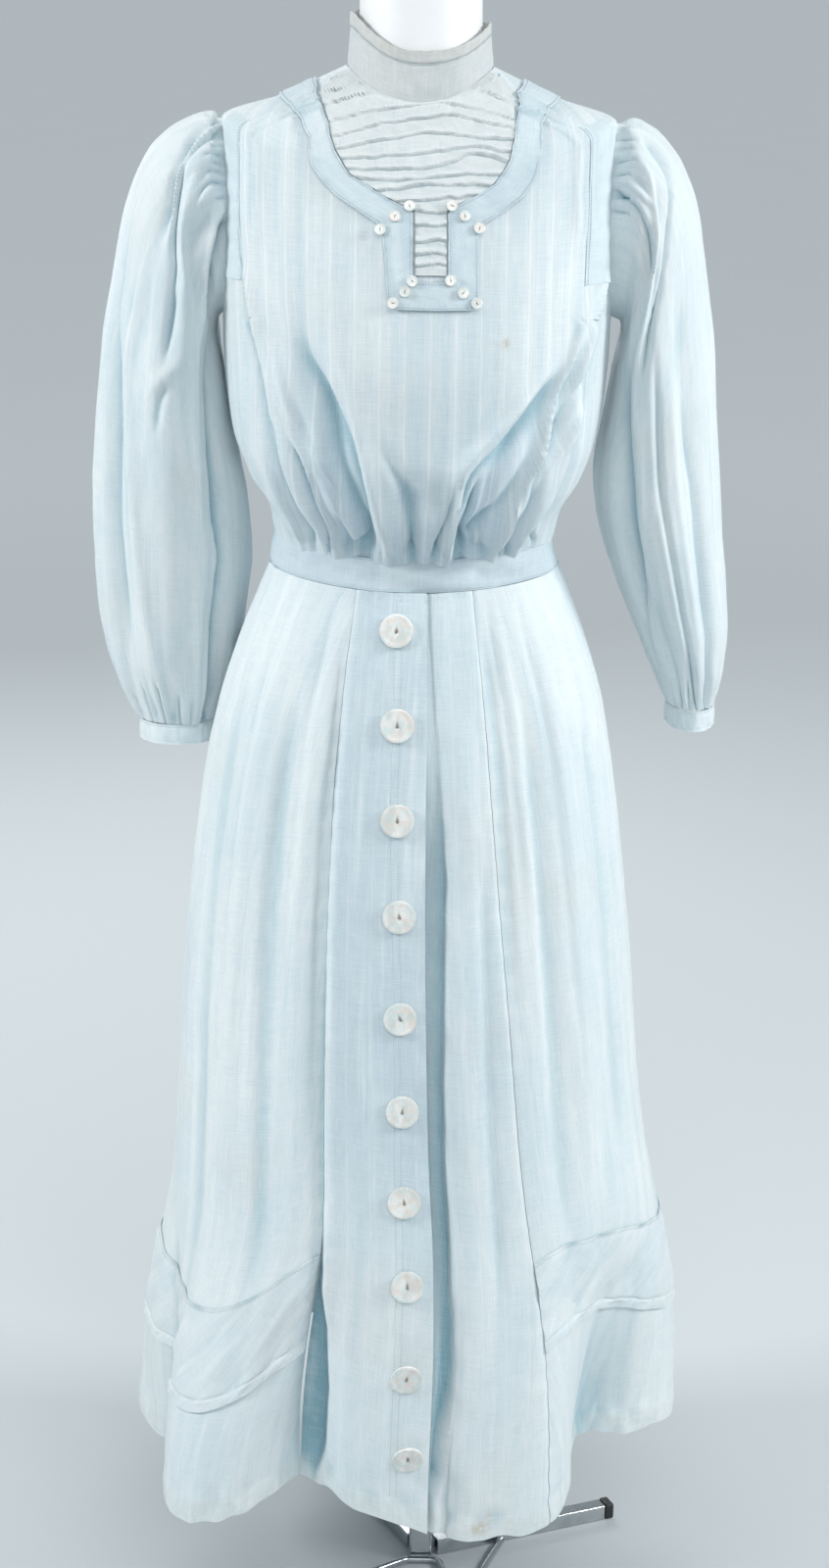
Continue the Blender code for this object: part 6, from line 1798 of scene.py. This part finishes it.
def make_sleeve(label, side, rows, folds, creases, seed):
    surface = raised(sleeve_base(side, rows), sleeve_detail(folds, creases, seed), side)
    v = np.concatenate([np.linspace(0, 0.25, 68)[:-1], np.linspace(0.25, 1, 66)])
    around = ring(SLEEVE_GRID_COLUMNS)
    degs, places = rings(v, around - 32.0 * np.sin(np.radians(around - 70.0)))
    flat = flat_places(sleeve_base(side, rows)(degs, places), SLEEVE_GRID_COLUMNS // 2, 1.0)
    tucked = np.stack([0.0042 * side * (1 - smooth(places / 0.010)), 0 * places, 0 * places], -1)
    points = surface(degs, places) - tucked
    item = shell(f"sleeve_{label}_cloth", points, side, SOFT_STRIPED, closed=True, flat=flat)
    cut([f"sleeve_{label}"])


def make_cuff(label, side, rows, bottom_z, slit, seed):
    def height(deg, w):
        deg = turned(deg)
        total = 0.0006 * rumple(deg / 12.0, w * 2.0, seed + 6)
        total = total + 0.0004 * rumple(deg / 5.0, w * 3.0, seed + 7)
        return total - 0.0005 * bump(w - 0.88, 0.04, 0.04) - 0.0004 * bump(w - 0.12, 0.05, 0.05)

    surface = raised(cuff(side, rows, bottom_z), height, -side)
    levels, count = GRID["cuff"]
    line = slit + np.linspace(0.5, 359.5, count)
    degs, places = rings(np.linspace(0, 1, levels), line)
    item = shell(f"cuff_{label}_cloth", surface(degs, places), -side, SOFT_STRIPED)
    cut([f"cuff_{label}"])
    path = surface(line, 0 * line + 0.88)
    away = path - path.mean(axis=0)
    away[:, 2] = 0
    away /= np.linalg.norm(away, axis=1, keepdims=True)
    stitch(f"cuff_{label}_stitches", path + away * SHELL / 2, THREAD, pitch=0.0021)


def make_sleeves():
    make_sleeve("left", -1, LEFT_SLEEVE_ROWS, LEFT_SLEEVE_FOLDS, LEFT_SLEEVE_CREASES, 110)
    make_cuff("left", -1, LEFT_SLEEVE_ROWS, LEFT_CUFF_BOTTOM_Z, 133.0, 110)
    make_sleeve("right", 1, RIGHT_SLEEVE_ROWS, RIGHT_SLEEVE_FOLDS, RIGHT_SLEEVE_CREASES, 120)
    make_cuff("right", 1, RIGHT_SLEEVE_ROWS, RIGHT_CUFF_BOTTOM_Z, -60.0, 120)


# Buttons


def button(name, radius, thick, point, normal, spin, size):
    """A turned shell button with a rim, a dished face and a fish-eye slot sewn through."""
    rings, count = 14, 40
    share = np.linspace(0, 1, rings)[:, None]
    angle = (np.arange(count) * 2 * math.pi / count)[None]
    rim = smooth((share - 0.72) / 0.10) * smooth((1.0 - share) / 0.07 + 0.15)
    x, y = radius * share * np.cos(angle), radius * share * np.sin(angle)
    slot_dip = np.exp(-((x / (radius * 0.10)) ** 2) - (y / (radius * 0.40)) ** 2)
    hole = np.exp(-(((x / (radius * 0.07)) ** 2 + ((np.abs(y) - radius * size) / (radius * 0.09)) ** 2)))
    z = thick * (0.90 + 0.10 * rim - 0.34 * slot_dip - 0.30 * hole) * np.ones_like(x)
    front = np.stack([x, y, z], -1)
    edge_share = np.array([1.0, 0.985, 0.93])[:, None]
    edge_z = np.array([0.55, 0.15, 0.0])[:, None] * thick
    edge = radius * edge_share
    side = np.stack([edge * np.cos(angle), edge * np.sin(angle), edge_z + 0 * angle], -1)
    local = np.concatenate([front[1:], side])
    rows = len(local)
    points = np.concatenate([front[0, :1], local.reshape(-1, 3), [[0.0, 0.0, 0.0]]])
    faces = [[0, 1 + k, 1 + (k + 1) % count] for k in range(count)]
    faces.extend((grid_faces(rows, count, True)[:, REVERSED] + 1).tolist())
    last, end = 1 + (rows - 1) * count, len(points) - 1
    faces.extend([[end, last + (k + 1) % count, last + k] for k in range(count)])
    turn = facing(normal, spin)
    item = new_piece(name, points @ turn.T + point, faces, PEARL)
    thread = []
    for shift in (-0.045, 0.045):
        y_line = np.linspace(-radius * size, radius * size, 9)
        bow = thick * (0.42 + 0.34 * np.cos(np.linspace(-1, 1, 9) * math.pi / 2))
        thread.append(np.stack([np.full(9, radius * shift), y_line, bow], -1))
    paths = [line_points @ turn.T + point for line_points in thread]
    thread_name = name.replace("button", "button_thread")
    tubes(thread_name, paths, radius * 0.035 + 0.00008, BUTTON_THREAD)
    return item


def facing(normal, spin):
    """A turn that takes +Z to a normal and keeps +Y near upright, then spins about the normal."""
    normal = np.asarray(normal, float) / np.linalg.norm(normal)
    right = np.cross([0.0, 0.0, 1.0], normal)
    right /= np.linalg.norm(right)
    upright = np.cross(normal, right)
    a = math.radians(spin)
    x = right * math.cos(a) + upright * math.sin(a)
    return np.stack([x, np.cross(normal, x), normal], axis=1)


def tubes(name, paths, radius, finish, sides=6):
    """Thin round threads along paths, joined into one mesh."""
    points, faces = [], []
    for path in paths:
        path = np.asarray(path, float)
        along = np.gradient(path, axis=0)
        along /= np.linalg.norm(along, axis=1, keepdims=True)
        helper = np.array([0.0, 0.0, 1.0]) if abs(along[:, 2]).mean() < 0.8 else np.array([1.0, 0.0, 0.0])
        side = np.cross(along, helper)
        side /= np.linalg.norm(side, axis=1, keepdims=True)
        up = np.cross(side, along)
        start = len(points)
        for spot, a, b in zip(path, side, up):
            for k in range(sides):
                angle = 2 * math.pi * k / sides
                points.append(spot + (a * math.cos(angle) + b * math.sin(angle)) * radius)
        for i in range(len(path) - 1):
            for k in range(sides):
                n = (k + 1) % sides
                low = start + i * sides
                faces.append([low + k, low + n, low + sides + n, low + sides + k])
        faces.append([start + k for k in range(sides)][::-1])
        faces.append([start + (len(path) - 1) * sides + k for k in range(sides)])
    item = new_piece(name, np.array(points), faces, finish)
    return item


def make_buttons():
    for number, (deg, s, over, spin) in enumerate(SMALL_BUTTON_ROWS, 1):
        normal = normals(bodice_base, deg, s)
        lift = YOKE_LIFT + BAND_OVER_YOKE + SHELL / 2 + BUTTON_GAP + over
        point = bodice_fine(np.array(deg), np.array(s)) + normal * lift
        name = f"small_button_{number:02d}"
        item = button(f"{name}_pearl", SMALL_BUTTON / 2, SMALL_BUTTON_THICK, point, normal, spin, 0.20)
        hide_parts(name)
    for number, (deg, t, spin, tilt) in enumerate(LARGE_BUTTON_ROWS, 1):
        normal = skirt_out(np.array(deg), np.array(t))
        tilt = math.radians(tilt)
        lift = SHELL / 2 + BUTTON_GAP + 0.010 * math.sin(tilt)
        point = skirt_fine(np.array(deg), np.array(t)) + normal * lift
        normal = normal + np.array([0.45, 0.0, -1.0]) * math.tan(tilt)
        name = f"large_button_{number:02d}"
        item = button(f"{name}_pearl", LARGE_BUTTON / 2, LARGE_BUTTON_THICK, point, normal, spin, 0.11)
        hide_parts(name)


# Frayed ends, dress form and stand


# Loose threads at the waistband: angle, w, drop and lean

FRAY_ROWS = (
    (-18.0, 0.02, 0.010, 0.004),
    (-11.0, 0.0, 0.006, -0.005),
    (-7.0, 0.02, 0.008, 0.006),
    (6.0, 0.03, 0.009, -0.003),
    (9.5, 0.0, 0.006, 0.005),
    (18.0, 0.04, 0.005, 0.004),
    (-26.0, 0.03, 0.006, -0.004),
    (52.0, 0.96, -0.006, 0.006),
    (56.0, 0.94, -0.004, 0.009),
)


def make_frays():
    paths = []
    for deg, w, drop, lean in FRAY_ROWS:
        start = waistband(np.array(deg), np.array(w))
        out = np.array([math.sin(math.radians(deg)), -math.cos(math.radians(deg)), 0.0])
        share = np.linspace(0, 1, 10)[:, None]
        curl = np.sin(share * 5.0 + deg) * 0.0012
        away = out * (0.0012 + 0.0030 * np.sin(share * 3.0))
        paths.append(start + away + share * np.array([lean, 0.0, -drop]) + curl)
    tubes("frayed_threads", paths, 0.00016, THREAD, 5)


def make_form():
    rows, count = GRID["dress_form"]
    degs, grid = rings(np.linspace(0, len(FORM_ROWS) - 1, rows), ring(count))
    points = tilted_section(FORM_ROWS, FORM_COLUMNS, grid, degs)
    faces = grid_faces(rows, count, True).tolist()
    faces.append(list(range(count))[::-1])
    faces.append([(rows - 1) * count + j for j in range(count)])
    item = new_piece("dress_form_body", points, faces, FORM)
    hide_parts("dress_form")


def rounded_block(name, size, centre, turn_deg, finish, edge, node):
    """A box with rounded edges, turned about the upright axis."""
    corners = [(x, y, z) for x in (-0.5, 0.5) for y in (-0.5, 0.5) for z in (-0.5, 0.5)]
    faces = [(0, 1, 3, 2), (4, 6, 7, 5), (0, 4, 5, 1), (2, 3, 7, 6), (0, 2, 6, 4), (1, 5, 7, 3)]
    a = math.radians(turn_deg)
    turn = np.array([[math.cos(a), -math.sin(a), 0], [math.sin(a), math.cos(a), 0], [0, 0, 1]])
    points = np.array(corners) * np.array(size) @ turn.T + np.array(centre) - DRESS_PLACE
    item = new_piece(name, points, faces, finish)
    work = item.modifiers.new("edges", "BEVEL")
    work.width = edge
    work.segments = 4
    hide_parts(node)
    return item


def make_stand():
    height = FORM_BOTTOM - STAND_GAP
    size = (POLE_WIDTH, POLE_WIDTH, height)
    rounded_block("pole_bar", size, (0, 0, height / 2), 0, CHROME, 0.0022, "pole")
    for label, turn in (("right", LEG_RIGHT_DEG), ("rear", LEG_REAR_DEG)):
        along = np.array([math.cos(math.radians(turn)), math.sin(math.radians(turn)), 0.0])
        length = LEG_REACH - LEG_START
        middle = along * (LEG_START + length / 2) + np.array([0, 0, LEG_HEIGHT / 2])
        size = (length, LEG_WIDTH, LEG_HEIGHT)
        rounded_block(f"leg_{label}_bar", size, middle, turn, CHROME, 0.0012, f"leg_{label}")
        middle = along * (LEG_REACH + STAND_GAP + CAP_LENGTH / 2)
        middle[2] = LEG_HEIGHT / 2 + CAP_WALL / 2
        size = (CAP_LENGTH, LEG_WIDTH + 2 * CAP_WALL, LEG_HEIGHT + CAP_WALL)
        name = f"cap_{label}"
        rounded_block(f"{name}_plug", size, middle, turn, BLACK, 0.0018, name)
    marks = np.arange(len(ROD_ROWS), dtype=float)
    fine = np.linspace(0, len(ROD_ROWS) - 1, 160)
    path = np.stack([flow(fine, marks, column(ROD_ROWS, ROD_COLUMNS, key)) for key in ROD_COLUMNS], -1)
    path = np.concatenate([path, np.full((len(path), 1), FOOT_ROD / 2)], axis=1) - DRESS_PLACE
    item = tubes("foot_rod_bar", [path], FOOT_ROD / 2, CHROME, 20)
    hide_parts("foot_rod")


# Floor, light and camera


FLOOR = 300.0
FLOOR_DROP = 0.0004
AIM = (0.0, 0.0, 0.85)
WORLD_LIGHT = 0.36
SUN_PLACE = (0.55, -2.6, 3.4)
SUN_STRENGTH = 0.90
SUN_SOFTNESS = 0.75
LIGHTS = (
    ("right_side", (2.5, -0.7, 2.3), 0.9, 54.0, (1.0, 0.99, 0.98)),
    ("left_side", (-2.7, -0.8, 2.4), 0.9, 57.0, (1.0, 0.99, 0.98)),
    ("back", (-0.6, 2.6, 2.3), 1.4, 30.0, (0.95, 0.98, 1.0)),
)
CAMERA_PLACE = (-0.0155, -2.448, 1.48)
CAMERA_PITCH = 16.0
CAMERA_ROLL = 0.76
CAMERA_LENS = 65.25
SENSOR_WIDTH = 36.0
FARTHEST = 900.0


def aimed_light(name, kind, place, power):
    """A light that points at the middle of the dress."""
    data = bpy.data.lights.new(name, kind)
    data.energy = power
    lamp = bpy.data.objects.new(name, data)
    lamp.location = place
    lamp.rotation_euler = (Vector(AIM) - Vector(place)).to_track_quat("-Z", "Y").to_euler()
    bpy.context.scene.collection.objects.link(lamp)
    return data


def make_stage():
    mesh = bpy.data.meshes.new("floor")
    corners = [(-FLOOR, -FLOOR, 0), (FLOOR, -FLOOR, 0), (FLOOR, FLOOR, 0), (-FLOOR, FLOOR, 0)]
    mesh.from_pydata(corners, [], [(0, 1, 2, 3)])
    nodes = Nodes("pale_floor")
    place = nodes.tree.nodes.new("ShaderNodeTexCoord").outputs["Object"]
    cloud = nodes.noise(place, 1.2, 3.0, 0.5)
    x, y, _ = nodes.parts(place)
    away = nodes.math("SQRT", nodes.math("ADD", nodes.math("MULTIPLY", x, x), nodes.math("MULTIPLY", y, y)))
    # Painted light on the floor: darker round the dress as painted shade, and paler far away as a painted
    # brighter floor
    tone = nodes.mix(nodes.ramp(away, 0.6, 7.0), (0.57, 0.615, 0.635), (0.90, 0.94, 0.96))
    mesh.materials.append(nodes.finish(nodes.cover(tone, (0.66, 0.70, 0.71), cloud, 0.10), 0.85))
    floor = bpy.data.objects.new("floor", mesh)
    floor.location.z = -FLOOR_DROP
    bpy.context.scene.collection.objects.link(floor)
    bpy.context.scene.view_settings.view_transform = "Standard"
    world = bpy.data.worlds.new("studio")
    bpy.context.scene.world = world
    world.use_nodes = True
    background = world.node_tree.nodes["Background"]
    background.inputs[0].default_value = (0.82, 0.91, 0.96, 1.0)
    background.inputs[1].default_value = WORLD_LIGHT
    sun = aimed_light("front_top", "SUN", SUN_PLACE, SUN_STRENGTH)
    sun.angle = SUN_SOFTNESS
    for name, place, size, power, color in LIGHTS:
        light = aimed_light(name, "AREA", place, power)
        light.size = size
        light.color = color


def make_camera():
    data = bpy.data.cameras.new("camera")
    data.lens = CAMERA_LENS
    data.sensor_width = SENSOR_WIDTH
    data.clip_end = FARTHEST
    camera = bpy.data.objects.new("camera", data)
    pitch, roll = math.radians(CAMERA_PITCH), math.radians(CAMERA_ROLL)
    right = Vector((1.0, 0.0, 0.0))
    ahead = Vector((0.0, math.cos(pitch), -math.sin(pitch)))
    up = Vector((0.0, math.sin(pitch), math.cos(pitch)))
    side = right * math.cos(roll) + up * math.sin(roll)
    top = up * math.cos(roll) - right * math.sin(roll)
    turn = Matrix((side, top, -ahead)).transposed().to_4x4()
    turn.translation = Vector(CAMERA_PLACE)
    camera.matrix_world = turn
    bpy.context.scene.collection.objects.link(camera)
    bpy.context.scene.camera = camera


make_camera()
make_stage()
make_bodice()
make_yoke()
make_yoke_band()
make_armhole_strips()
make_skirt()
make_bias_bands()
make_placket_lines()
make_collar()
make_waistband()
make_sleeves()
make_buttons()
make_frays()
make_form()
make_stand()

bpy.context.view_layer.update()
